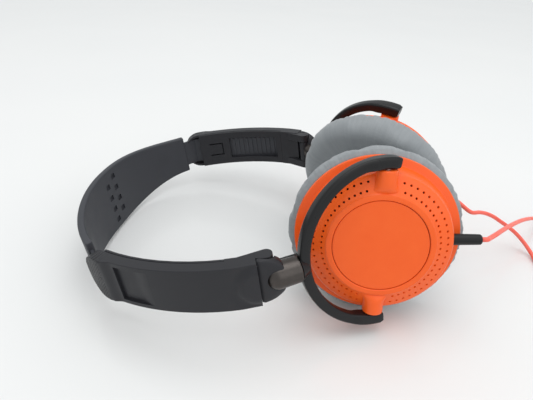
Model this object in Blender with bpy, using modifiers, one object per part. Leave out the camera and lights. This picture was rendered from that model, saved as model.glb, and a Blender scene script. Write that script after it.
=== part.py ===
"""Folding on-ear headphones, lying on their side: band, sliding arms, folding cups, cushions and cable.

Side frame of each half: X outward to the ear side, Y towards the crown, Z along the band's width.
Both halves are built in it alike; the left one is the same half turned round Y.
"""
import math

import bmesh
import bpy
from mathutils import Matrix, Vector

MM = 0.001
GAP = 0.3 * MM                      # kept between touching pieces
RUN = 0.35 * MM                     # clearance of pieces that slide or turn

# How the headphones lie and how each half is posed
LEAN = math.radians(9.4)            # crown edge rests lower than the cups
KNUCKLE_SPLAY = {"left": math.radians(29.7), "right": math.radians(24.5)}
SWIVEL_REST = {"left": math.radians(-10.3), "right": math.radians(8.7)}
TILT_REST = {"left": math.radians(-21.6), "right": math.radians(-5.1)}
SIDE_SIGN = {"left": -1, "right": 1}

# Headband bridge: a superellipse seen from the front
CROWN_HALF_WIDTH = 70.0 * MM        # middle of the band to its side
CROWN_RISE = 63.5 * MM
CROWN_BASE = 64.0 * MM              # height of the superellipse's centre over the head's axis
CROWN_POWER = 2.24
BRIDGE_THICK = 3.4 * MM
BRIDGE_WIDTH_TOP = 35.0 * MM
BRIDGE_WIDTH_END = 24.0 * MM
BRIDGE_END_RISE = 40.0 * MM         # bridge ends this far above the superellipse's centre
BRIDGE_STEPS = 26
NOTCH_LENGTH = 3.6 * MM
NOTCH_WIDTH = 3.0 * MM
NOTCH_DEPTH = 1.1 * MM
NOTCH_ROWS = 4
NOTCH_PITCH = 7.0 * MM

# Arm: a housing that curves on one arc and slides over the toothed strip
ARM_RADIUS = 102.0 * MM             # outer face
ARM_CENTRE = Vector((-28.9, 60.4, 0.0)) * MM
ARM_THICK = 6.5 * MM
ARM_WIDTH = 22.4 * MM
ARM_WALL = 1.5 * MM
ARM_SIDE_WALL = 1.4 * MM
ARM_FOOT = math.radians(-20.3)      # split line at the fold
ARM_BLOCK_END = math.radians(-13.5)
ARM_MOUTH = math.radians(25.0)
COVER_THICK = 1.3 * MM
COVER_START = math.radians(-13.0)
COVER_END = math.radians(20.4)
RIDGE_RISE = 1.4 * MM
RIDGE_START = math.radians(14.4)
RIDGE_END = math.radians(18.0)
MOUTH_RELIEF = 0.5 * MM             # deeper roof near the mouth, where the strip runs out
WINDOW_START = math.radians(4.2)
WINDOW_RAMP = math.radians(7.4)     # the window's floor rises to the surface from here
WINDOW_END = math.radians(13.8)
WINDOW_WIDTH = 14.0 * MM
LOBE_ANGLE = math.radians(-14.2)    # round pad over the fold
LOBE_RADIUS = 10.4 * MM
LOBE_RISE = 0.6 * MM
RIB_WINDOW_START = math.radians(-11.0)
RIB_WINDOW_END = math.radians(8.5)
RIB_WINDOW_WIDTH = 14.0 * MM
TONGUE_START = math.radians(11.3)
TONGUE_END = math.radians(16.8)
TONGUE_WIDTH = 7.0 * MM
SLOT_WIDTH = 0.8 * MM

# Toothed strip that the arm slides on
STRIP_RADIUS = 160.0 * MM
STRIP_THICK = 1.3 * MM
STRIP_WIDTH = 16.0 * MM
STRIP_FOOT = 43.0 * MM              # lowest point of the strip, over the head's axis
STRIP_TOP = 99.0 * MM
STRIP_MIDDLE = 70.0 * MM            # where the strip and the housing run parallel
STRIP_INSET = 0.7 * MM              # strip's inward shift there, so that it clears at both ends
STRIP_ROOT = 7.5 * MM               # length held in the bridge's slot
TOOTH_PITCH = 3.0 * MM
TOOTH_RISE = 0.4 * MM
TOOTH_COUNT = 14

# Fold hinge, knuckle and swivel tube
HINGE = Vector((59.4, 23.0, 0.0)) * MM
BARREL_RADIUS = 2.9 * MM
HINGE_PIN_RADIUS = 1.1 * MM
EAR_INNER = 6.6 * MM
KNUCKLE_THICK = 4.6 * MM
TUBE_RADIUS = 5.9 * MM
TUBE_START = 7.8 * MM               # from the arm's end, along the tube
TUBE_LENGTH = 9.5 * MM
STEM_RADIUS = 2.6 * MM
ARM_TO_CUP = 54.9 * MM              # arm's end to the cup's pivot axis

# Yoke
YOKE_RADIUS = 36.4 * MM             # at the pivots
YOKE_BACK = 34.6 * MM               # where it meets the tube
YOKE_WIDE = 4.8 * MM
YOKE_DEEP = 5.0 * MM
YOKE_PAST = math.radians(8.0)       # how far its ends pass the pivot axis
YOKE_TURN = math.radians(11.5)      # of the pivot axis, about the axis the cup faces along
YOKE_STEPS = 16
COLLAR_RADIUS = 5.2 * MM
CLIP_LENGTH = 8.6 * MM              # tab from the yoke back over the tube
CLIP_WIDTH = 6.4 * MM
CLIP_THICK = 1.4 * MM
PIVOT_RADIUS = 1.5 * MM
PIVOT_IN = 25.5 * MM                # inner end of a pivot pin

# Cup shell, outward is +Z and the pivot axis lies at Z = 0
CAP_RADIUS = 20.4 * MM
CAP_THICK = 1.5 * MM
CAP_SEAT = 1.5 * MM
LIP_RADIUS = 23.4 * MM
LIP_TOP = 3.6 * MM
CONE_RADIUS = 30.6 * MM
CONE_FOOT = -0.4 * MM
WALL_RADIUS = 33.0 * MM
FLANGE_RADIUS = 36.9 * MM
FLANGE_TOP = -9.3 * MM
FLANGE_FOOT = -11.6 * MM
SHELL_WALL = 1.6 * MM
BOSS_RADIUS = 4.6 * MM
BOSS_IN = 24.2 * MM
BOSS_OUT = 33.0 * MM
TURN_STEPS = 24

# Inside the cup
BAFFLE_THICK = 1.8 * MM
DRIVER_RADIUS = 20.0 * MM
DRIVER_HOLE = 17.6 * MM
DRIVER_DEEP = 5.2 * MM
MAGNET_RADIUS = 11.0 * MM
MAGNET_THICK = 3.6 * MM
CLOTH_RADIUS = 20.5 * MM
CLOTH_THICK = 0.6 * MM
SCREW_CIRCLE = 27.5 * MM
SCREW_RADIUS = 1.1 * MM
SCREW_HEAD = 2.1 * MM
SCREW_HEAD_THICK = 1.0 * MM
SCREW_LENGTH = 6.2 * MM
SCREW_COUNT = 3
POST_RADIUS = 2.6 * MM

# Cushion
CUSHION_RADIUS = 40.0 * MM
CUSHION_DEEP = 14.2 * MM            # flange to the ear face
CUSHION_HOLE = 13.0 * MM
CUSHION_RING_IN = 23.0 * MM
CUSHION_RING_THICK = 1.2 * MM

# Cable
CABLE_RADIUS = 1.1 * MM
RELIEF_ANGLE = {"left": math.radians(-3.0), "right": math.radians(8.5)}
RELIEF_DEPTH = -5.4 * MM            # its axis, against the pivot axis
RELIEF_START = 30.4 * MM
RELIEF_END = 44.2 * MM
RELIEF_RADIUS = 2.5 * MM
RELIEF_TIP_RADIUS = 2.3 * MM
CABLE_REST = CABLE_RADIUS + 0.05 * MM      # height of a cord's middle on the table
SPLITTER_AT = Vector((180.0, 32.6, 2.3)) * MM    # end where the two branches go in
SPLITTER_SIZE = Vector((14.0, 6.8, 4.4)) * MM
BRANCH_SPREAD = 2.7 * MM            # between the middles of the two branches
COIL_TURNS = 5                      # in each of the two layers
COIL_OUTER = 21.35 * MM             # to the middle of the cord
COIL_GAP = 0.5 * MM
COIL_POINTS = 24                    # per turn
COIL_CLIMB = 1.5 * MM               # drawn in while it climbs to the second layer
COIL_SWELL = 2.0 * MM               # extra pitch of the second layer's first turn
COIL_LEAD = 15.0 * MM               # from the splitter to the coil
TAIL_LENGTH = 16.0 * MM             # from the coil to the plug
PLUG_RADIUS = 3.4 * MM
PLUG_LENGTH = 17.0 * MM
JACK_RADIUS = 1.75 * MM
JACK_LENGTH = 14.0 * MM

# Free points of the two branches, from the cups down to the table, in millimetres.
ROUTES = {
    "left": [(101.8, -22.1, 44.5), (107.1, -14.8, 42.5), (112.8, -6.0, 39.5), (121.4, 7.2, 34.5),
             (131.2, 21.9, 28.5), (140.7, 35.4, 22.5), (150.1, 47.6, 16.5), (158.1, 58.0, 10.2),
             (164.6, 67.0, 5.0), (170.5, 74.8, 2.0), (176.6, 79.4, 1.15), (182.4, 78.6, 1.15),
             (185.4, 73.6, 1.15), (184.8, 67.2, 1.15), (181.5, 60.9, 1.15), (177.2, 55.1, 1.15),
             (173.2, 48.8, 1.15), (170.8, 42.4, 1.3), (172.5, 36.9, 1.8)],
    "right": [(105.4, 19.8, 31.5), (111.8, 25.0, 29.0), (117.0, 28.8, 26.5), (122.3, 31.5, 23.5),
              (126.8, 33.0, 20.5), (132.8, 34.7, 16.5), (139.0, 35.9, 12.0), (144.3, 35.7, 7.5),
              (148.4, 33.4, 3.7), (150.4, 29.0, 1.7), (151.1, 23.5, 1.15), (151.3, 17.0, 1.15),
              (151.6, 10.0, 1.15), (153.0, 3.2, 1.15), (156.9, -2.4, 1.15), (162.4, -4.0, 1.15),
              (167.2, -1.0, 1.15), (169.4, 4.8, 1.15), (169.6, 11.2, 1.15), (169.7, 17.4, 1.15),
              (171.0, 23.6, 1.2), (174.0, 28.9, 1.7)],
}

COLOURS = {
    "band black": ((0.040, 0.042, 0.048), 0.55, 0.0),
    "housing black": ((0.030, 0.031, 0.035), 0.42, 0.0),
    "yoke black": ((0.022, 0.024, 0.026), 0.30, 0.0),
    "gunmetal": ((0.070, 0.068, 0.066), 0.30, 0.8),
    "steel": ((0.55, 0.55, 0.56), 0.28, 1.0),
    "orange": ((0.82, 0.125, 0.022), 0.30, 0.0),
    "cushion grey": ((0.21, 0.235, 0.245), 0.60, 0.0),
    "cloth black": ((0.015, 0.015, 0.016), 0.95, 0.0),
    "frame grey": ((0.10, 0.10, 0.105), 0.55, 0.0),
    "film": ((0.45, 0.43, 0.38), 0.25, 0.0),
    "relief black": ((0.012, 0.012, 0.013), 0.60, 0.0),
    "cable red": ((0.88, 0.095, 0.050), 0.45, 0.0),
}


# ---------------------------------------------------------------- scene and helpers

def clear_scene():
    for obj in list(bpy.data.objects):
        bpy.data.objects.remove(obj, do_unlink=True)
    for group in list(bpy.data.collections):
        bpy.data.collections.remove(group)


def material(name):
    found = bpy.data.materials.get(name)
    if found:
        return found
    colour, rough, metal = COLOURS[name]
    made = bpy.data.materials.new(name)
    made.use_nodes = True
    shader = made.node_tree.nodes["Principled BSDF"]
    shader.inputs["Base Color"].default_value = (*colour, 1.0)
    shader.inputs["Roughness"].default_value = rough
    shader.inputs["Metallic"].default_value = metal
    return made


def add(name, data, parent=None, look=None, at=(0, 0, 0)):
    obj = bpy.data.objects.new(name, data)
    PARTS.objects.link(obj)
    obj.parent = parent
    obj.location = at
    if look:
        data.materials.append(material(look).copy())
    return obj


def empty(name, parent, matrix):
    obj = bpy.data.objects.new(name, None)
    PARTS.objects.link(obj)
    obj.parent = parent
    obj.matrix_local = matrix
    return obj


def as_cutter(obj):
    PARTS.objects.unlink(obj)
    CUTTERS.objects.link(obj)
    obj.hide_render = True
    obj.display_type = "WIRE"
    return obj


def mesh_from(bm, name, smooth=35):
    bmesh.ops.recalc_face_normals(bm, faces=bm.faces)
    data = bpy.data.meshes.new(name)
    bm.to_mesh(data)
    bm.free()
    data.shade_smooth()
    data.set_sharp_from_angle(angle=math.radians(smooth))
    return data


def combine(obj, other, operation="DIFFERENCE"):
    """Cut a piece by another, or join it, and keep the other as a hidden guide."""
    as_cutter(other)
    step = obj.modifiers.new(operation.lower(), "BOOLEAN")
    step.operation = operation
    step.object = other
    return obj


def turned(name, profile, parent, look, steps=TURN_STEPS, closed=False):
    """A profile of (radius, height) turned round Z. It runs down its outer side."""
    bm = bmesh.new()
    points = [bm.verts.new((r, 0, z)) for r, z in profile]
    for a, b in zip(points, points[1:]):
        bm.edges.new((a, b))
    if closed:
        bm.edges.new((points[-1], points[0]))
    data = bpy.data.meshes.new(name)
    bm.to_mesh(data)
    bm.free()
    obj = add(name, data, parent, look)
    screw = obj.modifiers.new("turn", "SCREW")
    screw.steps = screw.render_steps = steps
    screw.use_merge_vertices = True
    screw.merge_threshold = 1e-5
    screw.use_smooth_shade = True
    return obj


def rod(name, start, end, radius, parent, look, sides=20, end_radius=None):
    """A round bar between two points."""
    start, end = Vector(start), Vector(end)
    bm = bmesh.new()
    bmesh.ops.create_cone(bm, cap_ends=True, segments=sides, radius1=radius,
                          radius2=radius if end_radius is None else end_radius,
                          depth=(end - start).length)
    turn = (end - start).to_track_quat("Z", "Y").to_matrix().to_4x4()
    bmesh.ops.transform(bm, matrix=Matrix.Translation((start + end) / 2) @ turn, verts=bm.verts)
    return add(name, mesh_from(bm, name), parent, look)


def block(name, low, high, parent, look, turn=None, round_edges=0.0):
    """A box between two corners, turned by a matrix if one is given."""
    low, high = Vector(low), Vector(high)
    bm = bmesh.new()
    bmesh.ops.create_cube(bm, size=1)
    bmesh.ops.scale(bm, vec=high - low, verts=bm.verts)
    bmesh.ops.translate(bm, vec=(low + high) / 2, verts=bm.verts)
    if round_edges:
        bmesh.ops.bevel(bm, geom=bm.edges[:], offset=round_edges, segments=2, profile=0.5,
                        affect="EDGES", material=-1)
    if turn:
        bmesh.ops.transform(bm, matrix=turn, verts=bm.verts)
    return add(name, mesh_from(bm, name), parent, look)


def hull(name, points, parent, look):
    """The closed solid stretched round a set of points."""
    bm = bmesh.new()
    for point in points:
        bm.verts.new(point)
    made = bmesh.ops.convex_hull(bm, input=bm.verts)
    inside = {v for key in ("geom_interior", "geom_unused") for v in made[key]
              if isinstance(v, bmesh.types.BMVert)}
    bmesh.ops.delete(bm, geom=list(inside), context="VERTS")
    return add(name, mesh_from(bm, name), parent, look)


def circle(centre, axis, radius, count=14):
    """Points of a circle round an axis."""
    turn = Vector(axis).to_track_quat("Z", "Y")
    return [Vector(centre) + turn @ Vector((radius * math.cos(a), radius * math.sin(a), 0))
            for a in (2 * math.pi * i / count for i in range(count))]


def rounded_box(low, high, radius, steps=3):
    """Corner points of a rounded rectangle in a plane, anticlockwise."""
    corners = [(high[0], high[1], 0), (low[0], high[1], 1), (low[0], low[1], 2), (high[0], low[1], 3)]
    points = []
    for x, y, quarter in corners:
        cx = x + (radius if x == low[0] else -radius)
        cy = y + (radius if y == low[1] else -radius)
        for i in range(steps + 1):
            angle = math.pi / 2 * (quarter + i / steps)
            points.append((cx + radius * math.cos(angle), cy + radius * math.sin(angle)))
    return points


def arc_bar(name, outline, centre, start, end, parent, look, steps=20):
    """An outline of (radius, z) swept round Z from one angle to another."""
    bm = bmesh.new()
    first = Matrix.Rotation(start, 4, "Z")
    verts = [bm.verts.new(first @ Vector((r, 0, z))) for r, z in outline]
    face = bm.faces.new(verts)
    bmesh.ops.spin(bm, geom=[face, *face.edges, *face.verts], cent=(0, 0, 0), axis=(0, 0, 1),
                   angle=end - start, steps=steps, use_duplicate=False)
    bmesh.ops.translate(bm, vec=centre, verts=bm.verts)
    return add(name, mesh_from(bm, name), parent, look)


def arc_box(name, r0, r1, half, start, end, parent, look, centre=ARM_CENTRE, steps=8):
    outline = [(r0, -half), (r1, -half), (r1, half), (r0, half)]
    return arc_bar(name, outline, centre, start, end, parent, look, steps)


def arm_point(radius, angle, z=0.0):
    return ARM_CENTRE + Vector((radius * math.cos(angle), radius * math.sin(angle), z))


# ---------------------------------------------------------------- headband

def crown_point(angle):
    """Middle of the band at an angle of its superellipse, 90 degrees at the crown."""
    c, s = math.cos(angle), math.sin(angle)
    x = CROWN_HALF_WIDTH * math.copysign(abs(c) ** (2 / CROWN_POWER), c)
    return Vector((x, CROWN_BASE + CROWN_RISE * abs(s) ** (2 / CROWN_POWER), 0))


def bridge_width(angle, last):
    """Band width, widest at the crown."""
    share = (angle - last) / (math.pi / 2 - last)
    ease = share * share * (3 - 2 * share)
    return BRIDGE_WIDTH_END + (BRIDGE_WIDTH_TOP - BRIDGE_WIDTH_END) * ease


def make_bridge(head):
    """The crown: one bent plate, wider in the middle, with notches inside and a slot at each end."""
    last = bridge_last()
    bm = bmesh.new()
    rows = []
    for i in range(BRIDGE_STEPS + 1):
        angle = last + (math.pi - 2 * last) * i / BRIDGE_STEPS
        half = bridge_width(min(angle, math.pi - angle), last) / 2
        middle = crown_point(angle)
        rows.append([bm.verts.new(middle + Vector((0, 0, side * half))) for side in (-1, 0, 1)])
    for near, far in zip(rows, rows[1:]):
        for k in (0, 1):
            bm.faces.new((near[k], near[k + 1], far[k + 1], far[k]))
    bridge = add("headband_bridge", mesh_from(bm, "headband_bridge"), head, "band black")
    wall = bridge.modifiers.new("wall", "SOLIDIFY")
    wall.thickness = BRIDGE_THICK
    wall.offset = 0
    edge = bridge.modifiers.new("edge", "BEVEL")
    edge.width = BRIDGE_THICK * 0.28
    edge.segments = 1
    edge.limit_method = "ANGLE"
    edge.angle_limit = math.radians(60)
    cutter = bmesh.new()
    inner = CROWN_BASE + CROWN_RISE - BRIDGE_THICK / 2
    for row in range(NOTCH_ROWS):
        for column in (0, 1):
            z = (row - (NOTCH_ROWS - 1) / 2) * NOTCH_PITCH + (column - 0.5) * NOTCH_PITCH / 2
            x = (column - 0.5) * 2 * NOTCH_LENGTH
            made = bmesh.ops.create_cube(cutter, size=1)["verts"]
            bmesh.ops.scale(cutter, vec=(NOTCH_LENGTH, 2 * NOTCH_DEPTH, NOTCH_WIDTH), verts=made)
            bmesh.ops.translate(cutter, vec=(x, inner, z), verts=made)
    combine(bridge, add("crown_notches", mesh_from(cutter, "crown_notches"), head))
    return bridge


def bridge_last():
    """Angle of the superellipse where the bridge ends."""
    return math.asin((BRIDGE_END_RISE / CROWN_RISE) ** (CROWN_POWER / 2))


def strip_centre():
    """Centre of the arc that the strip follows and that the arm slides about."""
    middle = ARM_RADIUS - (ARM_WALL + ARM_THICK - COVER_THICK) / 2
    angle = math.asin((STRIP_MIDDLE - ARM_CENTRE.y) / middle)
    inward = middle - STRIP_INSET - STRIP_RADIUS
    return ARM_CENTRE + inward * Vector((math.cos(angle), math.sin(angle), 0))


def strip_angle(height):
    return math.asin((height - strip_centre().y) / STRIP_RADIUS)


def tab_place():
    """Frame at the bridge's end: X across the plate outward, Y along it towards the crown."""
    end = crown_point(bridge_last())
    along = (crown_point(bridge_last() + 0.02) - end).normalized()
    across = Vector((along.y, -along.x, 0))
    return Matrix.Translation(end) @ Matrix((across, along, Vector((0, 0, 1)))).transposed().to_4x4()


def make_strip(side, band, bridge):
    """A flat strip with teeth on its inner face; its tab sits in a slot of the bridge."""
    centre = strip_centre()
    half, thick = STRIP_WIDTH / 2, STRIP_THICK / 2
    foot, top = strip_angle(STRIP_FOOT), strip_angle(STRIP_TOP)
    strip = arc_box(f"slider_strip_{side}", STRIP_RADIUS - thick, STRIP_RADIUS + thick, half, foot, top,
                    band, "band black", centre, 14)
    teeth = bmesh.new()
    for i in range(TOOTH_COUNT):
        angle = foot + (i + 0.7) * TOOTH_PITCH / STRIP_RADIUS
        made = bmesh.ops.create_cube(teeth, size=1)["verts"]
        size = (2 * TOOTH_RISE, TOOTH_PITCH * 0.45, STRIP_WIDTH * 0.72)
        bmesh.ops.scale(teeth, vec=size, verts=made)
        place = Matrix.Translation(centre) @ Matrix.Rotation(angle, 4, "Z")
        place = place @ Matrix.Translation((STRIP_RADIUS - thick, 0, 0))
        bmesh.ops.transform(teeth, matrix=place, verts=made)
    combine(strip, add(f"teeth_{side}", mesh_from(teeth, "teeth"), band), "UNION")
    place = tab_place()
    neck = [place @ Vector((x, y, z)) for x in (-thick, thick) for y in (-0.6 * MM, 0.4 * MM)
            for z in (-half, half)]
    for angle in (top - 0.006, top):
        turn = Matrix.Rotation(angle, 4, "Z")
        neck += [centre + turn @ Vector((STRIP_RADIUS + x, 0, z)) for x in (-thick, thick)
                 for z in (-half, half)]
    combine(strip, hull(f"strip_neck_{side}", neck, band, None), "UNION")
    tab = block(f"strip_tab_{side}", (-thick, 0, -half), (thick, STRIP_ROOT, half), band, None, place)
    combine(strip, tab, "UNION")
    slot = block(f"bridge_slot_{side}", (-thick - GAP, -3 * MM, -half - GAP),
                 (thick + GAP, STRIP_ROOT + GAP, half + GAP), band, None, place)
    combine(bridge, slot)
    return strip


# ---------------------------------------------------------------- sliding arm

def make_arm(side, arm):
    """Channel housing with a grip at its mouth, a window, a solid foot and two hinge ears."""
    half = ARM_WIDTH / 2
    inner = ARM_RADIUS - ARM_THICK
    seat = inner + COVER_THICK + GAP
    inside = half - ARM_SIDE_WALL
    roof = ARM_RADIUS - ARM_WALL
    corner = [(ARM_RADIUS - 1.4 * MM + 1.4 * MM * math.cos(a), half - 1.4 * MM + 1.4 * MM * math.sin(a))
              for a in (0, math.pi / 4, math.pi / 2)]
    outer = [(r, -z) for r, z in reversed(corner)] + corner
    channel = outer + [(seat, half), (seat, inside), (roof, inside), (roof, -inside),
                       (seat, -inside), (seat, -half)]
    housing = arc_bar(f"arm_housing_{side}", channel, ARM_CENTRE, ARM_FOOT, ARM_MOUTH, arm,
                      "housing black", 12)
    solid = outer + [(inner, half), (inner, -half)]
    foot = arc_bar(f"arm_foot_{side}", solid, ARM_CENTRE, ARM_FOOT + 1e-5, ARM_BLOCK_END, arm, None, 4)
    combine(housing, foot, "UNION")
    ridge = []
    for radius, shrink in ((ARM_RADIUS - 0.8 * MM, 0.0), (ARM_RADIUS + RIDGE_RISE, 0.012)):
        ridge += [arm_point(radius, angle, z) for angle in (RIDGE_START + shrink, RIDGE_END - shrink)
                  for z in (-half + 0.6 * MM, half - 0.6 * MM)]
    combine(housing, hull(f"arm_ridge_{side}", ridge, arm, None), "UNION")
    lobe = rod(f"arm_lobe_{side}", arm_point(roof, LOBE_ANGLE), arm_point(ARM_RADIUS + LOBE_RISE, LOBE_ANGLE),
               LOBE_RADIUS, arm, None, 18, LOBE_RADIUS - 0.5 * MM)
    combine(housing, lobe, "UNION")
    for sign in (-1, 1):
        low, high = sorted((sign * EAR_INNER, sign * (half - 0.2 * MM)))
        combine(housing, hull(f"hinge_ear_{side}_{'low' if sign < 0 else 'high'}",
                              ear_points(low, high, BARREL_RADIUS, 0.6 * MM), arm, None), "UNION")
    bore = rod(f"hinge_bore_{side}", HINGE - Vector((0, 0, half + 2 * MM)),
               HINGE + Vector((0, 0, half + 2 * MM)), HINGE_PIN_RADIUS + RUN, arm, None, 12)
    combine(housing, bore)
    combine(housing, arc_box(f"mouth_relief_{side}", seat, roof + MOUTH_RELIEF, inside, COVER_END - 0.05,
                             ARM_MOUTH + 0.02, arm, None))
    wide = WINDOW_WIDTH / 2
    window = [arm_point(radius, angle, z) for z in (-wide, wide) for radius, angle in
              ((roof - 1 * MM, WINDOW_RAMP), (roof - 1 * MM, WINDOW_END),
               (ARM_RADIUS + 1 * MM, WINDOW_START), (ARM_RADIUS + 1 * MM, WINDOW_END))]
    combine(housing, hull(f"arm_window_{side}", window, arm, None))
    return housing


def ear_points(low, high, radius, reach_in):
    """Corner points of a hinge ear: its barrel and the web to the arm's foot."""
    inner = ARM_RADIUS - ARM_THICK
    points = []
    for z in (low, high):
        points += circle(HINGE + Vector((0, 0, z)), (0, 0, 1), radius)
        points += [arm_point(inner + reach_in, angle, z) for angle in
                   (math.radians(-16.5), math.radians(-14.0))]
    return points


def make_cover(side, arm):
    """Inner cover with its snap tongue and the open window over the teeth."""
    inner = ARM_RADIUS - ARM_THICK
    outline = rounded_box((inner, -ARM_WIDTH / 2), (inner + COVER_THICK, ARM_WIDTH / 2), 0.4 * MM, 2)
    cover = arc_bar(f"arm_cover_{side}", outline, ARM_CENTRE, COVER_START, COVER_END, arm,
                    "housing black", 8)
    lo, hi = inner - 2 * MM, inner + COVER_THICK + 2 * MM
    combine(cover, arc_box(f"rib_window_{side}", lo, hi, RIB_WINDOW_WIDTH / 2, RIB_WINDOW_START,
                           RIB_WINDOW_END, arm, None))
    slot = SLOT_WIDTH / inner
    half = TONGUE_WIDTH / 2
    combine(cover, arc_box(f"tongue_end_{side}", lo, hi, half, TONGUE_START, TONGUE_START + slot,
                           arm, None, steps=1))
    for sign, word in ((-1, "low"), (1, "high")):
        outline = [(lo, sign * half), (hi, sign * half), (hi, sign * (half + SLOT_WIDTH)),
                   (lo, sign * (half + SLOT_WIDTH))]
        combine(cover, arc_bar(f"tongue_slot_{side}_{word}", outline, ARM_CENTRE, TONGUE_START,
                               TONGUE_END, arm, None, 3))
    return cover


# ---------------------------------------------------------------- knuckle and swivel tube

def make_knuckle(side, fold, splay):
    """Block under the arm's foot that carries the hinge barrel and the swivel tube."""
    tube = Vector((-math.sin(splay), -math.cos(splay), 0))
    foot = arm_point(ARM_RADIUS - ARM_THICK / 2, ARM_FOOT)
    to_fold = Matrix.Translation(-HINGE)
    inner = ARM_RADIUS - (ARM_THICK + KNUCKLE_THICK) / 2
    split = ARM_FOOT - RUN / ARM_RADIUS
    half = ARM_WIDTH / 2
    section = []
    for z, r0, r1 in ((half, inner + 0.8 * MM, inner + KNUCKLE_THICK - 0.8 * MM),
                      (half - 0.8 * MM, inner, inner + KNUCKLE_THICK)):
        section += [arm_point(r, split, sign * z) for sign in (-1, 1) for r in (r0, r1)]
    neck = circle(foot + tube * TUBE_START, tube, TUBE_RADIUS + 0.2 * MM)
    points = [to_fold @ p for p in section + neck]
    knuckle = hull(f"fold_knuckle_{side}", points, fold, "housing black")
    barrel = []
    for z in (-EAR_INNER + RUN, EAR_INNER - RUN):
        barrel += circle(Vector((0, 0, z)), (0, 0, 1), BARREL_RADIUS)
        barrel += [to_fold @ arm_point(inner + 0.2 * MM, split - 0.002, z),
                   to_fold @ (foot + tube * (TUBE_START - 0.5 * MM)) + Vector((0, 0, z))]
    combine(knuckle, hull(f"fold_barrel_{side}", barrel, fold, None), "UNION")
    for sign, word in ((-1, "low"), (1, "high")):
        low, high = sorted((sign * (EAR_INNER - RUN), sign * (half + 1 * MM)))
        room = [to_fold @ p for p in ear_points(low, high, BARREL_RADIUS + 0.45 * MM, 0.6 * MM)]
        combine(knuckle, hull(f"ear_room_{side}_{word}", room, fold, None))
    bore = rod(f"knuckle_bore_{side}", (0, 0, -half), (0, 0, half), HINGE_PIN_RADIUS + RUN, fold, None, 12)
    combine(knuckle, bore)
    start = to_fold @ (foot + tube * (TUBE_START + GAP))
    end = start + tube * TUBE_LENGTH
    sleeve = rod(f"swivel_tube_{side}", start, end, TUBE_RADIUS, fold, "gunmetal", 20, TUBE_RADIUS - 0.3 * MM)
    hole = rod(f"tube_bore_{side}", start - tube * MM, end + tube * MM, STEM_RADIUS + RUN, fold, None, 12)
    combine(sleeve, hole)
    pin = rod(f"hinge_pin_{side}", (0, 0, -half + 0.6 * MM), (0, 0, half - 0.6 * MM), HINGE_PIN_RADIUS,
              fold, "steel", 12)
    return knuckle, sleeve, pin


# ---------------------------------------------------------------- yoke

def make_yoke(side, swivel, turn):
    """C-shaped yoke round the half of the cup that faces the band, with its collar, stem and clip."""
    half = YOKE_WIDE / 2
    outline = rounded_box((-half, -YOKE_DEEP / 2), (half, YOKE_DEEP / 2), 1.3 * MM, 2)
    first, last = math.pi / 2 - YOKE_PAST, 1.5 * math.pi + YOKE_PAST
    bm = bmesh.new()
    rings = []
    for i in range(YOKE_STEPS + 1):
        angle = first + (last - first) * i / YOKE_STEPS
        centre = Vector((YOKE_BACK * math.cos(angle), YOKE_RADIUS * math.sin(angle), 0))
        out = Vector((YOKE_RADIUS * math.cos(angle), YOKE_BACK * math.sin(angle), 0)).normalized()
        rings.append([bm.verts.new(turn @ (centre + out * r + Vector((0, 0, z)))) for r, z in outline])
    for near, far in zip(rings, rings[1:]):
        for k in range(len(outline)):
            bm.faces.new((near[k - 1], near[k], far[k], far[k - 1]))
    bm.faces.new(rings[0])
    bm.faces.new(rings[-1])
    yoke = add(f"yoke_{side}", mesh_from(bm, f"yoke_{side}"), swivel, "yoke black")
    tube_end = -(ARM_TO_CUP - TUBE_START - GAP - TUBE_LENGTH)
    collar = rod(f"yoke_collar_{side}", (tube_end + RUN, 0, 0), (-YOKE_BACK + half * 0.6, 0, 0),
                 COLLAR_RADIUS, swivel, None, 16, YOKE_DEEP / 2 + 0.6 * MM)
    combine(yoke, collar, "UNION")
    stem = rod(f"yoke_stem_{side}", (tube_end - TUBE_LENGTH + 2 * MM, 0, 0), (-YOKE_BACK, 0, 0), STEM_RADIUS,
               swivel, None, 12)
    combine(yoke, stem, "UNION")
    under = -TUBE_RADIUS - RUN
    combine(yoke, block(f"yoke_clip_{side}", (tube_end - CLIP_LENGTH, -CLIP_WIDTH / 2, under - CLIP_THICK),
                        (-YOKE_BACK + half * 0.4, CLIP_WIDTH / 2, under), swivel, None,
                        round_edges=0.4 * MM), "UNION")
    combine(yoke, block(f"yoke_clip_root_{side}", (tube_end + RUN + 0.4 * MM, -CLIP_WIDTH / 2 + 0.3 * MM,
                                                   under - CLIP_THICK / 2),
                        (-YOKE_BACK + half * 0.4, CLIP_WIDTH / 2 - 0.3 * MM, 0), swivel, None), "UNION")
    pivot = turn @ Vector((0, 1, 0))
    holes = rod(f"yoke_pin_holes_{side}", pivot * (-YOKE_RADIUS - 4 * MM), pivot * (YOKE_RADIUS + 4 * MM),
                PIVOT_RADIUS + GAP, swivel, None, 12)
    combine(yoke, holes)
    for sign, word in ((-1, "low"), (1, "high")):
        rod(f"pivot_pin_{side}_{word}", pivot * (sign * PIVOT_IN), pivot * (sign * (YOKE_RADIUS + 0.6 * MM)),
            PIVOT_RADIUS, swivel, "steel", 12)
    return yoke


# ---------------------------------------------------------------- cup

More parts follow.
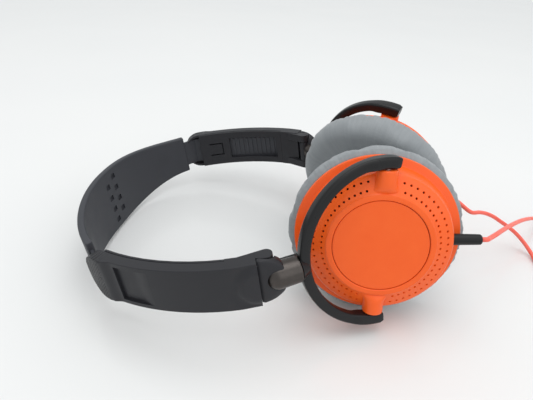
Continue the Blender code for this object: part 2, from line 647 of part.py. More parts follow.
def make_shell(side, cup, relief_turn):
    """Cup shell with the seat of its cap, the cone, the flange and the two pivot bosses."""
    seat = CAP_SEAT
    inner_wall = WALL_RADIUS - SHELL_WALL
    nest = FLANGE_RADIUS - 1.7 * MM
    profile = [
        (0, seat), (CAP_RADIUS + GAP, seat), (CAP_RADIUS + GAP, LIP_TOP - 0.4 * MM),
        (CAP_RADIUS + 0.8 * MM, LIP_TOP), (LIP_RADIUS - 0.5 * MM, LIP_TOP), (LIP_RADIUS, LIP_TOP - 0.6 * MM),
        (CONE_RADIUS, CONE_FOOT), (CONE_RADIUS + 0.9 * MM, CONE_FOOT - 0.9 * MM),
        (WALL_RADIUS, FLANGE_TOP + 0.7 * MM), (WALL_RADIUS + 0.7 * MM, FLANGE_TOP),
        (FLANGE_RADIUS - 0.4 * MM, FLANGE_TOP - 0.3 * MM), (FLANGE_RADIUS, FLANGE_TOP - 0.8 * MM),
        (FLANGE_RADIUS, FLANGE_FOOT), (nest, FLANGE_FOOT), (nest, FLANGE_FOOT + 0.8 * MM),
        (inner_wall, FLANGE_FOOT + 1.8 * MM), (CONE_RADIUS - 0.7 * MM, CONE_FOOT - SHELL_WALL),
        (LIP_RADIUS - 0.4 * MM, LIP_TOP - 0.6 * MM - SHELL_WALL), (LIP_RADIUS - 1.1 * MM, seat - SHELL_WALL),
        (0, seat - SHELL_WALL),
    ]
    shell = turned(f"cup_shell_{side}", profile, cup, "orange")
    for sign, word in ((-1, "low"), (1, "high")):
        boss = rod(f"pivot_boss_{side}_{word}", (0, sign * BOSS_IN, 0), (0, sign * BOSS_OUT, 0), BOSS_RADIUS,
                   cup, None, 16)
        combine(shell, boss, "UNION")
    bore = rod(f"pivot_bore_{side}", (0, -BOSS_OUT - MM, 0), (0, BOSS_OUT + MM, 0), PIVOT_RADIUS + RUN,
               cup, None, 12)
    combine(shell, bore)
    for i, at in enumerate(screw_places()):
        down = at + Vector((0, 0, FLANGE_FOOT + 0.9 * MM))
        post = rod(f"screw_post_{side}_{i}", down, at + Vector((0, 0, -0.4 * MM)), POST_RADIUS, cup, None, 8)
        combine(shell, post, "UNION")
        hole = rod(f"screw_hole_{side}_{i}", down - Vector((0, 0, MM)), at + Vector((0, 0, -5 * MM)),
                   SCREW_RADIUS + GAP, cup, None, 8)
        combine(shell, hole)
    out = relief_turn @ Vector((1, 0, 0))
    start = out * (RELIEF_START - 2 * MM) + Vector((0, 0, RELIEF_DEPTH))
    end = out * (RELIEF_END + 2 * MM) + Vector((0, 0, RELIEF_DEPTH))
    combine(shell, rod(f"relief_hole_{side}", start, end, RELIEF_RADIUS + GAP, cup, None, 12))
    return shell


def make_cup_inside(side, cup):
    """Cap, baffle, driver, cloth, screws, cushion ring and cushion."""
    cap_low = CAP_SEAT + GAP
    cap_top = cap_low + CAP_THICK
    turned(f"cap_disc_{side}", [(0, cap_top), (CAP_RADIUS - 0.5 * MM, cap_top),
                                (CAP_RADIUS, cap_top - 0.4 * MM), (CAP_RADIUS, cap_low), (0, cap_low)],
           cup, "orange")
    top = FLANGE_FOOT + 0.8 * MM - GAP
    low = top - BAFFLE_THICK
    nest = FLANGE_RADIUS - 1.7 * MM - GAP
    baffle = turned(f"baffle_{side}", [(nest, top), (nest, low), (DRIVER_HOLE, low), (DRIVER_HOLE, top)],
                    cup, "frame grey", closed=True)
    for i, at in enumerate(screw_places()):
        combine(baffle, rod(f"baffle_hole_{side}_{i}", at + Vector((0, 0, low - MM)),
                            at + Vector((0, 0, top + MM)), SCREW_RADIUS + GAP, cup, None, 8))
    make_screws(side, cup, low)
    make_driver(side, cup, top, low)
    make_cushion(side, cup, low)


def screw_places():
    return [Vector((SCREW_CIRCLE * math.cos(angle), SCREW_CIRCLE * math.sin(angle), 0))
            for angle in (math.radians(60 + 120 * i) for i in range(SCREW_COUNT))]


def make_screws(side, cup, low):
    """Screws through the baffle, each a head and a shank turned in one profile."""
    head_top = low - GAP
    head_low = head_top - SCREW_HEAD_THICK
    tip = head_top + SCREW_LENGTH
    for i, at in enumerate(screw_places()):
        screw = turned(f"cup_screw_{side}_{i + 1}", [(0, tip), (SCREW_RADIUS, tip), (SCREW_RADIUS, head_top),
                                                     (SCREW_HEAD, head_top), (SCREW_HEAD, head_low),
                                                     (0, head_low)], cup, "steel", 8)
        screw.location = at


def make_driver(side, cup, top, low):
    """Driver basket, magnet, diaphragm and the cloth over them."""
    base = top + GAP
    rise = base + DRIVER_DEEP
    hole = MAGNET_RADIUS + GAP
    wall = 1.2 * MM
    basket = [(hole, rise), (DRIVER_RADIUS - 2 * MM, rise), (DRIVER_RADIUS, rise - 2 * MM),
              (DRIVER_RADIUS, base), (DRIVER_RADIUS - 3.0 * MM, base),
              (DRIVER_RADIUS - 3.0 * MM, rise - 2.4 * MM), (DRIVER_RADIUS - 3.4 * MM, rise - wall),
              (hole, rise - wall)]
    turned(f"driver_basket_{side}", basket, cup, "frame grey", 16, closed=True)
    seat = rise + GAP - MAGNET_THICK
    turned(f"driver_magnet_{side}", [(0, rise + 0.3 * MM), (MAGNET_RADIUS - 0.4 * MM, rise + 0.3 * MM),
                                     (MAGNET_RADIUS, rise - 0.1 * MM), (MAGNET_RADIUS, seat), (0, seat)],
           cup, "steel", 20)
    cone = DRIVER_HOLE - GAP
    turned(f"diaphragm_{side}", [(0, low + 2.3 * MM), (4 * MM, low + 2.0 * MM), (8 * MM, low + 0.9 * MM),
                                 (13 * MM, low + 1.7 * MM), (cone, low + 0.9 * MM), (cone, low + 0.5 * MM),
                                 (13 * MM, low + 1.3 * MM), (8 * MM, low + 0.5 * MM),
                                 (4 * MM, low + 1.6 * MM), (0, low + 1.9 * MM)],
           cup, "film", 16)
    cloth = low - GAP
    turned(f"speaker_cloth_{side}", [(0, cloth), (CLOTH_RADIUS, cloth), (CLOTH_RADIUS, cloth - CLOTH_THICK),
                                     (0, cloth - CLOTH_THICK)], cup, "cloth black", 24)


def make_cushion(side, cup, low):
    """Mounting ring and the crowned pad, drawn in where its skirt grips the flange."""
    ring_top = low - 1.6 * MM
    ring_low = ring_top - CUSHION_RING_THICK
    rim = FLANGE_RADIUS - 3.2 * MM
    turned(f"cushion_ring_{side}", [(rim, ring_top), (rim, ring_low), (CUSHION_RING_IN, ring_low),
                                    (CUSHION_RING_IN, ring_top)], cup, "frame grey", closed=True)
    top = FLANGE_FOOT - GAP
    face = FLANGE_FOOT - CUSHION_DEEP
    r = CUSHION_RADIUS
    hole = CUSHION_HOLE
    crest = (r + hole) / 2
    under = ring_low - GAP
    skirt = FLANGE_RADIUS - 1.6 * MM
    profile = [(FLANGE_RADIUS - 0.2 * MM, top), (FLANGE_RADIUS + 1.5 * MM, top - 0.7 * MM),
               (r - 0.4 * MM, top - 2.2 * MM), (r, top - 4.3 * MM), (r - 0.5 * MM, top - 7.4 * MM),
               (r - 2.3 * MM, top - 10.4 * MM), (r - 5.6 * MM, face + 1.2 * MM), (crest + 2 * MM, face),
               (crest - 4 * MM, face + 0.2 * MM), (hole + 4.5 * MM, face + 1.6 * MM),
               (hole + 1.5 * MM, face + 4.0 * MM), (hole, face + 6.6 * MM), (hole + 0.4 * MM, under - 0.8 * MM),
               (hole + 1.4 * MM, under), (skirt, under), (skirt, top)]
    turned(f"ear_cushion_{side}", profile, cup, "cushion grey", 32, closed=True)


def make_relief(side, cup, relief_turn):
    """Tapered strain relief out of the cup's side."""
    out = relief_turn @ Vector((1, 0, 0))
    depth = Vector((0, 0, RELIEF_DEPTH))
    return rod(f"strain_relief_{side}", out * RELIEF_START + depth, out * RELIEF_END + depth, RELIEF_RADIUS,
               cup, "relief black", 20, RELIEF_TIP_RADIUS)


# ---------------------------------------------------------------- cords, plug and coil

def smooth_route(points, share=2):
    """A curve through hand-set points, as short straight steps."""
    points = [Vector(p) for p in points]
    padded = [2 * points[0] - points[1], *points, 2 * points[-1] - points[-2]]
    route = []
    for a, b, c, d in zip(padded, padded[1:], padded[2:], padded[3:]):
        for i in range(share):
            t = i / share
            route.append(0.5 * (2 * b + (c - a) * t + (2 * a - 5 * b + 4 * c - d) * t * t
                                + (3 * b - a - 3 * c + d) * t ** 3))
    return [*route, points[-1]]


def cord(name, route, resolution=2):
    """A round cord along a route."""
    data = bpy.data.curves.new(name, "CURVE")
    data.dimensions = "3D"
    spline = data.splines.new("POLY")
    spline.points.add(len(route) - 1)
    for point, at in zip(spline.points, route):
        point.co = (*at, 1)
    data.bevel_depth = CABLE_RADIUS
    data.bevel_resolution = resolution
    data.use_fill_caps = True
    return add(name, data, CORDS, "cable red")


def make_branch(side, cup, relief_turn):
    """Cord from a cup's strain relief to the splitter, straight at both ends."""
    out = relief_turn @ Vector((1, 0, 0))
    tip = cup.matrix_world @ (out * RELIEF_END + Vector((0, 0, RELIEF_DEPTH)))
    way = (cup.matrix_world.to_3x3() @ out).normalized()
    side_step = Vector((0, -SIDE_SIGN[side] * BRANCH_SPREAD / 2, 0))
    into = SPLITTER_AT + side_step
    ends = [into - Vector((reach, 0, 0)) for reach in (GAP + 2.5 * CABLE_RADIUS, GAP)]
    start = [tip + way * reach for reach in (GAP, GAP + 2 * CABLE_RADIUS)]
    free = [Vector(p) * MM for p in ROUTES[side]]
    return cord(f"cable_{side}", smooth_route([*start, *free, *ends]))


def coil_route():
    """Two flat spiral layers, the lower wound inwards and the upper outwards, with both leads."""
    pitch = 2 * CABLE_RADIUS + COIL_GAP
    centre = SPLITTER_AT + Vector((SPLITTER_SIZE.x + COIL_LEAD, -COIL_OUTER, 0))
    inner = COIL_OUTER - pitch * COIL_TURNS
    first_turn = pitch + COIL_SWELL
    route = [SPLITTER_AT + Vector((SPLITTER_SIZE.x + reach, 0, 0)) for reach in (GAP, 3 * MM, 6.5 * MM)]
    route += [Vector((centre.x - reach, SPLITTER_AT.y, CABLE_REST)) for reach in (4.5 * MM, 2.2 * MM)]
    total = 2 * COIL_TURNS + 0.5
    for i in range(int(total * COIL_POINTS) + 1):
        turn = i / COIL_POINTS
        climb = min(max((turn - COIL_TURNS) * 2, 0), 1)
        radius = max(COIL_OUTER - pitch * turn, inner)
        radius -= COIL_CLIMB * climb
        after = turn - COIL_TURNS - 0.5
        if after > 0:
            radius += first_turn * min(after, 1) + pitch * max(after - 1, 0)
        angle = math.pi / 2 - 2 * math.pi * turn
        height = CABLE_REST + pitch * climb
        route.append(Vector((centre.x + radius * math.cos(angle), centre.y + radius * math.sin(angle), height)))
    last = route[-1]
    axis = PLUG_RADIUS + 0.05 * MM
    route += [Vector((last.x - TAIL_LENGTH * share, last.y - 0.3 * MM * share, last.z + (axis - last.z) * share))
              for share in (0.2, 0.4, 0.6, 0.8, 1.0)]
    return route


def coil_least_gap(route):
    """Least free space between two stretches of the coil that aren't neighbours."""
    least = 1.0
    apart = COIL_POINTS // 3
    for i, a in enumerate(route):
        for b, c in zip(route[i + apart:], route[i + apart + 1:]):
            span = c - b
            share = min(max((a - b).dot(span) / span.length_squared, 0), 1)
            least = min(least, (a - b - span * share).length)
    return least - 2 * CABLE_RADIUS


def make_plug(end):
    """Moulded plug body and its jack, lying along -X from the cord's end."""
    def place(obj, at):
        obj.matrix_local = Matrix.Translation(at) @ Matrix.Rotation(-math.pi / 2, 4, "Y")
        return obj
    sleeve = 2.2 * MM
    body = turned("plug_body", [(0, PLUG_LENGTH), (PLUG_RADIUS - 0.6 * MM, PLUG_LENGTH),
                                (PLUG_RADIUS, PLUG_LENGTH - 0.6 * MM), (PLUG_RADIUS, 7 * MM),
                                (sleeve + 0.4 * MM, 5 * MM), (sleeve, 0), (0, 0)], CORDS,
                  "relief black", 16)
    place(body, end - Vector((GAP, 0, 0)))
    r = JACK_RADIUS
    neck = JACK_LENGTH - 3.6 * MM
    jack = turned("plug_jack", [(0, JACK_LENGTH), (r - 1.2 * MM, JACK_LENGTH), (r - 0.1 * MM, neck + 1.9 * MM),
                                (r - 0.55 * MM, neck + 0.9 * MM), (r, neck), (r, 0), (0, 0)], CORDS,
                  "steel", 14)
    place(jack, end - Vector((2 * GAP + PLUG_LENGTH, 0, 0)))


def make_cords():
    for side, cup in CUPS.items():
        make_branch(side, cup, Matrix.Rotation(SIDE_SIGN[side] * RELIEF_ANGLE[side], 4, "Z"))
    half = SPLITTER_SIZE.y / 2
    block("cable_splitter", SPLITTER_AT - Vector((0, half, SPLITTER_SIZE.z / 2)),
          SPLITTER_AT + Vector((SPLITTER_SIZE.x, half, SPLITTER_SIZE.z / 2)), CORDS, "relief black",
          round_edges=1.0 * MM)
    route = coil_route()
    cord("cable_coil", route, 1)
    make_plug(route[-1])
    print("least gap in the coil, mm:", round(coil_least_gap(route) / MM, 2))


# ---------------------------------------------------------------- one half

def make_half(side, head, bridge):
    sign = SIDE_SIGN[side]
    half_frame = empty(f"{side}_half", head, Matrix.Rotation(math.pi if sign < 0 else 0.0, 4, "Y"))
    bend = crown_point((bridge_last() + math.pi / 2) / 2)
    band = empty(f"{side}_band_bend", half_frame, Matrix.Translation(bend))
    band_origin = empty(f"{side}_band_space", band, Matrix.Translation(-bend))
    make_strip(side, band_origin, bridge)
    slide_centre = strip_centre()
    arm = empty(f"{side}_arm_slide", band_origin, Matrix.Translation(slide_centre))
    arm_origin = empty(f"{side}_arm_space", arm, Matrix.Translation(-slide_centre))
    make_arm(side, arm_origin)
    make_cover(side, arm_origin)
    fold = empty(f"{side}_fold", arm_origin, Matrix.Translation(HINGE))
    splay = KNUCKLE_SPLAY[side]
    make_knuckle(side, fold, splay)
    tube = Vector((-math.sin(splay), -math.cos(splay), 0))
    facing = Vector((math.cos(splay), -math.sin(splay), 0))
    foot = arm_point(ARM_RADIUS - ARM_THICK / 2, ARM_FOOT)
    axes = Matrix((tube, facing.cross(tube), facing)).transposed().to_4x4()
    place = Matrix.Translation(foot + tube * ARM_TO_CUP - HINGE) @ axes
    swivel = empty(f"{side}_swivel", fold, place @ Matrix.Rotation(SWIVEL_REST[side], 4, "X"))
    turn = Matrix.Rotation(sign * YOKE_TURN, 4, "Z")
    make_yoke(side, swivel, turn)
    cup = empty(f"{side}_cup_tilt", swivel, turn @ Matrix.Rotation(TILT_REST[side], 4, "Y"))
    relief_turn = Matrix.Rotation(sign * RELIEF_ANGLE[side], 4, "Z")
    make_shell(side, cup, relief_turn)
    make_cup_inside(side, cup)
    make_relief(side, cup, relief_turn)
    return cup


def lowest_box(objects):
    """Exact lowest and highest corner, read from the evaluated meshes."""
    graph = bpy.context.evaluated_depsgraph_get()
    low = Vector((1e9, 1e9, 1e9))
    high = -low
    for obj in objects:
        shape = obj.evaluated_get(graph)
        for vert in shape.to_mesh().vertices:
            point = shape.matrix_world @ vert.co
            low = Vector(map(min, low, point))
            high = Vector(map(max, high, point))
        shape.to_mesh_clear()
    return low, high


clear_scene()
PARTS = bpy.data.collections.new("folding_headphones")
CUTTERS = bpy.data.collections.new("cutters")
for group in (PARTS, CUTTERS):
    bpy.context.scene.collection.children.link(group)

lie = Matrix.Rotation(-LEAN, 4, "Y") @ Matrix.Rotation(math.pi / 2, 4, "Z")
HEAD = empty("headband", None, lie)
BRIDGE = make_bridge(HEAD)
CUPS = {side: make_half(side, HEAD, BRIDGE) for side in ("left", "right")}
bpy.context.view_layer.update()
LOW, HIGH = lowest_box([o for o in PARTS.objects if o.type == "MESH"])
HEAD.location = -Vector(((LOW.x + HIGH.x) / 2, (LOW.y + HIGH.y) / 2, LOW.z))
bpy.context.view_layer.update()

CORDS = empty("cords", None, Matrix())
make_cords()
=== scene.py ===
"""Folding on-ear headphones on their side on a pale table: the pieces that are seen, and their finishes.

Each half is built in one side frame: X outward to the ear, Y towards the crown, Z along the band's width.
The left half is the same half turned round Y. Sizes are in metres, or in millimetres times MM.
"""
import math

import bmesh
import bpy
from mathutils import Matrix, Vector, noise


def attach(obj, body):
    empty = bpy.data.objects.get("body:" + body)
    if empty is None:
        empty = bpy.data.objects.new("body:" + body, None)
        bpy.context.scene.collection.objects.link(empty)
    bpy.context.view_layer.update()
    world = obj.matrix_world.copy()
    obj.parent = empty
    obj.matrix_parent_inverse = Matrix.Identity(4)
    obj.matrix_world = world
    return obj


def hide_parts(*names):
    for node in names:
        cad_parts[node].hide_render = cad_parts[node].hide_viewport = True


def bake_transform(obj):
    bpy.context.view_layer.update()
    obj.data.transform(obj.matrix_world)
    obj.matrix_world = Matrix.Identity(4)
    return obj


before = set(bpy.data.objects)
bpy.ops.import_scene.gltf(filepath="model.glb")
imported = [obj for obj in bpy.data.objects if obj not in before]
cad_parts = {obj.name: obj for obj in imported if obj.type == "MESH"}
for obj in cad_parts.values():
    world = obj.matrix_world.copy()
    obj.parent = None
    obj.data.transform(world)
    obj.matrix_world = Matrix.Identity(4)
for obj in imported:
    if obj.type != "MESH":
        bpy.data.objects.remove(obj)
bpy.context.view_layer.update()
MM = 0.001
UP = Vector((0, 0, 1))
SCENE = bpy.context.scene
SIDE_SIGN = {"left": -1, "right": 1}
SHARP = math.radians(50)

# Camera: where the photograph was taken from
EYE = Vector((0.030054, -0.18992, 0.157522))
EYE_RIGHT = Vector((0.97896615, 0.19890602, 0.04540565))
EYE_UP = Vector((-0.14560785, 0.52526042, 0.83839122))
EYE_AHEAD = Vector((-0.14291128, 0.82736805, -0.54317445))
EYE_LENS = 29.04                     # on a 36 mm sensor

# How the headphones lie and how each half is posed
HEAD_AT = Vector((0.032693, 0.0, 0.039571))
LEAN = math.radians(9.4)
KNUCKLE_SPLAY = {"left": math.radians(29.7), "right": math.radians(24.5)}
SWIVEL_REST = {"left": math.radians(-10.3), "right": math.radians(8.7)}
TILT_REST = {"left": math.radians(-21.6), "right": math.radians(-5.1)}

# Headband
CROWN_HALF_WIDTH = 70.0 * MM
CROWN_RISE = 63.5 * MM
CROWN_BASE = 64.0 * MM
CROWN_POWER = 2.24
BRIDGE_THICK = 3.4 * MM
BRIDGE_WIDTH_TOP = 35.0 * MM
BRIDGE_WIDTH_END = 24.0 * MM
BRIDGE_END_RISE = 40.0 * MM
NOTCH = Vector((3.6, 2.2, 3.0)) * MM
NOTCH_PITCH = 7.0 * MM

# Sliding arm
ARM_RADIUS = 102.0 * MM
ARM_CENTRE = Vector((-28.9, 60.4, 0.0)) * MM
ARM_THICK = 6.5 * MM
ARM_WALL = 1.5 * MM
ARM_HALF = 11.2 * MM
ARM_FOOT = math.radians(-20.3)
ARM_BLOCK_END = math.radians(-13.05)
ARM_MOUTH = math.radians(26.3)
MOUTH_ROUND = 10.0 * MM               # corner radius of the arm's crown end, seen from outside
COVER_THICK = 1.3 * MM
RIDGE_RISE = 1.4 * MM
RIDGE_START = math.radians(15.3)
RIDGE_TOP = math.radians(18.4)
RECESS_START = math.radians(5.4)
RECESS_RAMP = math.radians(8.7)
RECESS_END = math.radians(14.8)
RECESS_HALF = 9.0 * MM
RECESS_DEEP = 1.3 * MM
LOBE_ANGLE = ARM_FOOT
LOBE_RADIUS = 10.0 * MM
LOBE_RISE = 0.9 * MM

# Fold hinge, knuckle and swivel tube
HINGE = Vector((59.4, 23.0, 0.0)) * MM
BARREL_RADIUS = 2.9 * MM
LUG_ROOTS = (-16.5, -14.0)           # degrees, where the hinge's ears grow out of the arm
EAR_INNER = 6.6 * MM
KNUCKLE_THICK = 4.6 * MM
TUBE_RADIUS = 5.9 * MM
TUBE_START = 7.8 * MM
TUBE_LENGTH = 9.5 * MM
STEM_RADIUS = 2.6 * MM
ARM_TO_CUP = 54.9 * MM

# Yoke
YOKE_RADIUS = 36.4 * MM
YOKE_BACK = 34.6 * MM
YOKE_WIDE = 4.8 * MM
YOKE_DEEP = 5.0 * MM
YOKE_PAST = math.radians(8.0)
YOKE_TURN = math.radians(11.5)
COLLAR_RADIUS = 5.2 * MM
CLIP = Vector((8.6, 6.4, 1.4)) * MM   # tab over the tube: length, width and thickness

# Cup
CAP_RADIUS = 20.4 * MM
CAP_SEAT = 1.5 * MM
CAP_THICK = 1.5 * MM
LIP_RADIUS = 23.4 * MM
LIP_TOP = 3.6 * MM
CONE_RADIUS = 30.6 * MM
CONE_FOOT = -0.4 * MM
WALL_RADIUS = 33.0 * MM
FLANGE_RADIUS = 36.9 * MM
FLANGE_TOP = -9.3 * MM
FLANGE_FOOT = -11.6 * MM
BOSS_RADIUS = 4.6 * MM
# Pivot boss, as (distance from the cup's middle, half width, half height) in millimetres
BOSS_RINGS = ((23.5, 7.4, 3.0), (23.9, 7.3, 3.3), (24.4, 6.5, 3.7), (25.1, 5.7, 4.1), (26.1, 5.05, 4.4),
              (27.6, 4.7, 4.6), (29.5, 4.6, 4.6), (32.3, 4.6, 4.6), (32.75, 4.45, 4.45), (33.0, 4.1, 4.1))
VENTS = 60                           # holes in each of the two rows
VENT_RADIUS = 0.6 * MM
CLOTH_RADIUS = 20.5 * MM
CUSHION_RADIUS = 40.0 * MM
CUSHION_DEEP = 14.2 * MM
CUSHION_HOLE = 13.0 * MM

# Cable, the same routes as the solids have
CABLE_RADIUS = 1.1 * MM
RELIEF_ANGLE = {"left": math.radians(-3.0), "right": math.radians(8.5)}
RELIEF_DEPTH = -5.4 * MM
RELIEF_START = 30.4 * MM
RELIEF_END = 44.2 * MM
RELIEF_RADIUS = 2.5 * MM
CABLE_REST = CABLE_RADIUS + 0.05 * MM
SPLITTER_AT = Vector((180.0, 32.6, 2.3)) * MM
SPLITTER_SIZE = Vector((14.0, 6.8, 4.4)) * MM
BRANCH_SPREAD = 2.7 * MM
CORD_GAP = 0.3 * MM
COIL_TURNS = 5
COIL_OUTER = 21.35 * MM
COIL_PITCH = 2.7 * MM
COIL_POINTS = 24
COIL_CLIMB = 1.5 * MM
COIL_SWELL = 2.0 * MM
COIL_LEAD = 15.0 * MM
TAIL_LENGTH = 16.0 * MM
PLUG_RADIUS = 3.4 * MM
PLUG_LENGTH = 17.0 * MM
JACK_RADIUS = 1.75 * MM
JACK_LENGTH = 14.0 * MM
ROUTES = {
    "left": [(101.8, -22.1, 44.5), (107.1, -14.8, 42.5), (112.8, -6.0, 39.5), (121.4, 7.2, 34.5),
             (131.2, 21.9, 28.5), (140.7, 35.4, 22.5), (150.1, 47.6, 16.5), (158.1, 58.0, 10.2),
             (164.6, 67.0, 5.0), (170.5, 74.8, 2.0), (176.6, 79.4, 1.15), (182.4, 78.6, 1.15),
             (185.4, 73.6, 1.15), (184.8, 67.2, 1.15), (181.5, 60.9, 1.15), (177.2, 55.1, 1.15),
             (173.2, 48.8, 1.15), (170.8, 42.4, 1.3), (172.5, 36.9, 1.8)],
    "right": [(105.4, 19.8, 31.5), (111.8, 25.0, 29.0), (117.0, 28.8, 26.5), (122.3, 31.5, 23.5),
              (126.8, 33.0, 20.5), (132.8, 34.7, 16.5), (139.0, 35.9, 12.0), (144.3, 35.7, 7.5),
              (148.4, 33.4, 3.7), (150.4, 29.0, 1.7), (151.1, 23.5, 1.15), (151.3, 17.0, 1.15),
              (151.6, 10.0, 1.15), (153.0, 3.2, 1.15), (156.9, -2.4, 1.15), (162.4, -4.0, 1.15),
              (167.2, -1.0, 1.15), (169.4, 4.8, 1.15), (169.6, 11.2, 1.15), (169.7, 17.4, 1.15),
              (171.0, 23.6, 1.2), (174.0, 28.9, 1.7)],
}


# ---------------------------------------------------------------- frames of the two halves

HEAD = Matrix.Translation(HEAD_AT) @ Matrix.Rotation(-LEAN, 4, "Y") @ Matrix.Rotation(math.pi / 2, 4, "Z")
HALF, YOKE, TURN, CUP = {}, {}, {}, {}


def arm_point(radius, angle, z=0.0):
    return ARM_CENTRE + Vector((radius * math.cos(angle), radius * math.sin(angle), z))


def along_axes(x, y, z):
    """Rotation whose axes point along three vectors."""
    return Matrix((x, y, z)).transposed().to_4x4()


def aimed(direction, axis="Z"):
    """Rotation that points an axis along a direction."""
    return direction.to_track_quat(axis, "Y").to_matrix().to_4x4()


def tube_line(side):
    """Foot of the arm and the direction of the swivel tube, in the side frame."""
    splay = KNUCKLE_SPLAY[side]
    return arm_point(ARM_RADIUS - ARM_THICK / 2, ARM_FOOT), Vector((-math.sin(splay), -math.cos(splay), 0))


for side in SIDE_SIGN:
    HALF[side] = HEAD @ Matrix.Rotation(math.pi if side == "left" else 0.0, 4, "Y")
    foot, tube = tube_line(side)
    facing = Vector((-tube.y, tube.x, 0))
    axes = along_axes(tube, facing.cross(tube), facing)
    YOKE[side] = (HALF[side] @ Matrix.Translation(foot + tube * ARM_TO_CUP) @ axes
                  @ Matrix.Rotation(SWIVEL_REST[side], 4, "X"))
    TURN[side] = Matrix.Rotation(SIDE_SIGN[side] * YOKE_TURN, 4, "Z")
    CUP[side] = YOKE[side] @ TURN[side] @ Matrix.Rotation(TILT_REST[side], 4, "Y")


# ---------------------------------------------------------------- finishes

def linear(code):
    """An sRGB hex colour as linear values."""
    parts = [int(code[i:i + 2], 16) / 255 for i in (1, 3, 5)]
    return tuple(p / 12.92 if p <= 0.04045 else ((p + 0.055) / 1.055) ** 2.4 for p in parts) + (1.0,)


def node(tree, kind, links, **settings):
    """Adds one node with its settings, and gives its sockets values or the outputs that feed them."""
    made = tree.nodes.new("ShaderNode" + kind)
    for key, value in settings.items():
        setattr(made, key, value)
    for key, value in links.items():
        if isinstance(value, bpy.types.NodeSocket):
            tree.links.new(value, made.inputs[key])
        else:
            made.inputs[key].default_value = value
    return made


def finish(name, **sockets):
    """A new material and its shader, with constant values set on the shader itself."""
    made = bpy.data.materials.new(name)
    made.use_nodes = True
    tree = made.node_tree
    shader = tree.nodes["Principled BSDF"]
    for key, value in sockets.items():
        shader.inputs[key.replace("_", " ")].default_value = value
    return made, tree, shader


def per_mm(size):
    """Scale of a texture whose features are this many millimetres."""
    return 1 / (size * MM)


def mottle(tree, at, size, detail, **links):
    """Noise whose features are this many millimetres."""
    return node(tree, "TexNoise", {"Vector": at, "Scale": per_mm(size), "Detail": detail,
                                   **links}).outputs["Fac"]


def between(tree, factor, low, high):
    """A colour that a factor carries from one to another; each is a hex code or a socket."""
    low, high = (linear(c) if isinstance(c, str) else c for c in (low, high))
    return node(tree, "Mix", {0: factor, 6: low, 7: high}, data_type="RGBA").outputs[2]


def ranged(tree, value, from_min, from_max, to_min=0.0, to_max=1.0):
    """A value carried from one range to another."""
    return node(tree, "MapRange", {"Value": value, "From Min": from_min, "From Max": from_max,
                                   "To Min": to_min, "To Max": to_max}).outputs["Result"]


def raised(tree, height, strength, depth, **links):
    """Surface relief from a height, as deep as this many millimetres."""
    return node(tree, "Bump", {"Height": height, "Strength": strength, "Distance": depth * MM,
                               **links}).outputs["Normal"]


def fed(made, tree, shader, colour, rough=None, normal=None):
    """Links colour, gloss and relief to a material's shader, and gives the material."""
    for socket, value in (("Base Color", colour), ("Roughness", rough), ("Normal", normal)):
        if value is not None:
            tree.links.new(value, shader.inputs[socket])
    return made


def moulded(name, colour, light, rough, rough_spread, grain, depth, **sockets):
    """Moulded plastic or rubber: fine tool grain, faint clouding of the colour and uneven gloss."""
    made, tree, shader = finish(name, IOR=1.5, **sockets)
    at = node(tree, "TexCoord", {}).outputs["Object"]
    clouds = mottle(tree, at, 9.0, 3.0, Roughness=0.55)
    return fed(made, tree, shader, between(tree, clouds, colour, light),
               ranged(tree, clouds, 0.3, 0.7, rough - rough_spread, rough + rough_spread),
               raised(tree, mottle(tree, at, grain, 2.0), 0.35, depth))


# Satin ABS, pigment-moulded: clear orange with a soft, broad highlight.
ORANGE_ABS = moulded("orange_satin_abs", "#EE5A16", "#F4641E", 0.36, 0.04, 0.5, 0.012, Specular_IOR_Level=0.4)
# Glass-filled nylon, blasted tool: charcoal, almost no shine; the grain is drawn coarser than the real one.
BAND_NYLON = moulded("charcoal_matt_nylon", "#323439", "#3A3C42", 0.52, 0.05, 0.6, 0.03, Specular_IOR_Level=0.4)
# ABS, fine spark-eroded texture: charcoal with a low sheen on its edges.
ARM_ABS = moulded("charcoal_fine_abs", "#222327", "#2A2A2E", 0.44, 0.05, 0.5, 0.02, Specular_IOR_Level=0.3)
# Polished-tool nylon: nearly black, with clear soft reflections.
YOKE_NYLON = moulded("black_satin_nylon", "#141516", "#1B1B1D", 0.3, 0.04, 0.7, 0.012, Specular_IOR_Level=0.28)
# ABS, plain tool finish: dark grey inner parts that are seldom seen.
INNER_ABS = moulded("dark_grey_inner_abs", "#26272A", "#2E2F32", 0.55, 0.05, 0.8, 0.03)
# TPE rubber, moulded: dead black sleeve with a faint sheen.
RELIEF_RUBBER = moulded("black_moulded_rubber", "#0E0E0F", "#161617", 0.42, 0.06, 0.6, 0.03,
                        Specular_IOR_Level=0.3)
# PET film, pressed: thin, honey grey and shiny.
FILM = moulded("pressed_pet_film", "#8F8A80", "#A09A8E", 0.25, 0.05, 1.5, 0.02)
# Hole bottoms of the vents: painted shade, a dark warm sheet at the bottom of each hole that stands in for the
# shade inside it.
VENT_SHADE = moulded("painted_vent_shade", "#2A1310", "#38190F", 0.9, 0.03, 0.6, 0.05)


def grip_dots(made):
    """Rows of small raised dots on the arm's grip, where the piece's own attribute asks for them."""
    tree = made.node_tree
    normal = tree.nodes["Principled BSDF"].inputs["Normal"]
    where, mask = (node(tree, "Attribute", {}, attribute_name=name) for name in ("grip", "grip_share"))
    dots = node(tree, "TexVoronoi", {"Vector": where.outputs["Vector"], "Scale": 1.0, "Randomness": 0.15},
                voronoi_dimensions="2D")
    high = ranged(tree, dots.outputs["Distance"], 0.42, 0.2)
    height = node(tree, "Math", {0: high, 1: mask.outputs["Fac"]}, operation="MULTIPLY").outputs["Value"]
    tree.links.new(raised(tree, height, 1.0, 0.8, Normal=normal.links[0].from_socket), normal)


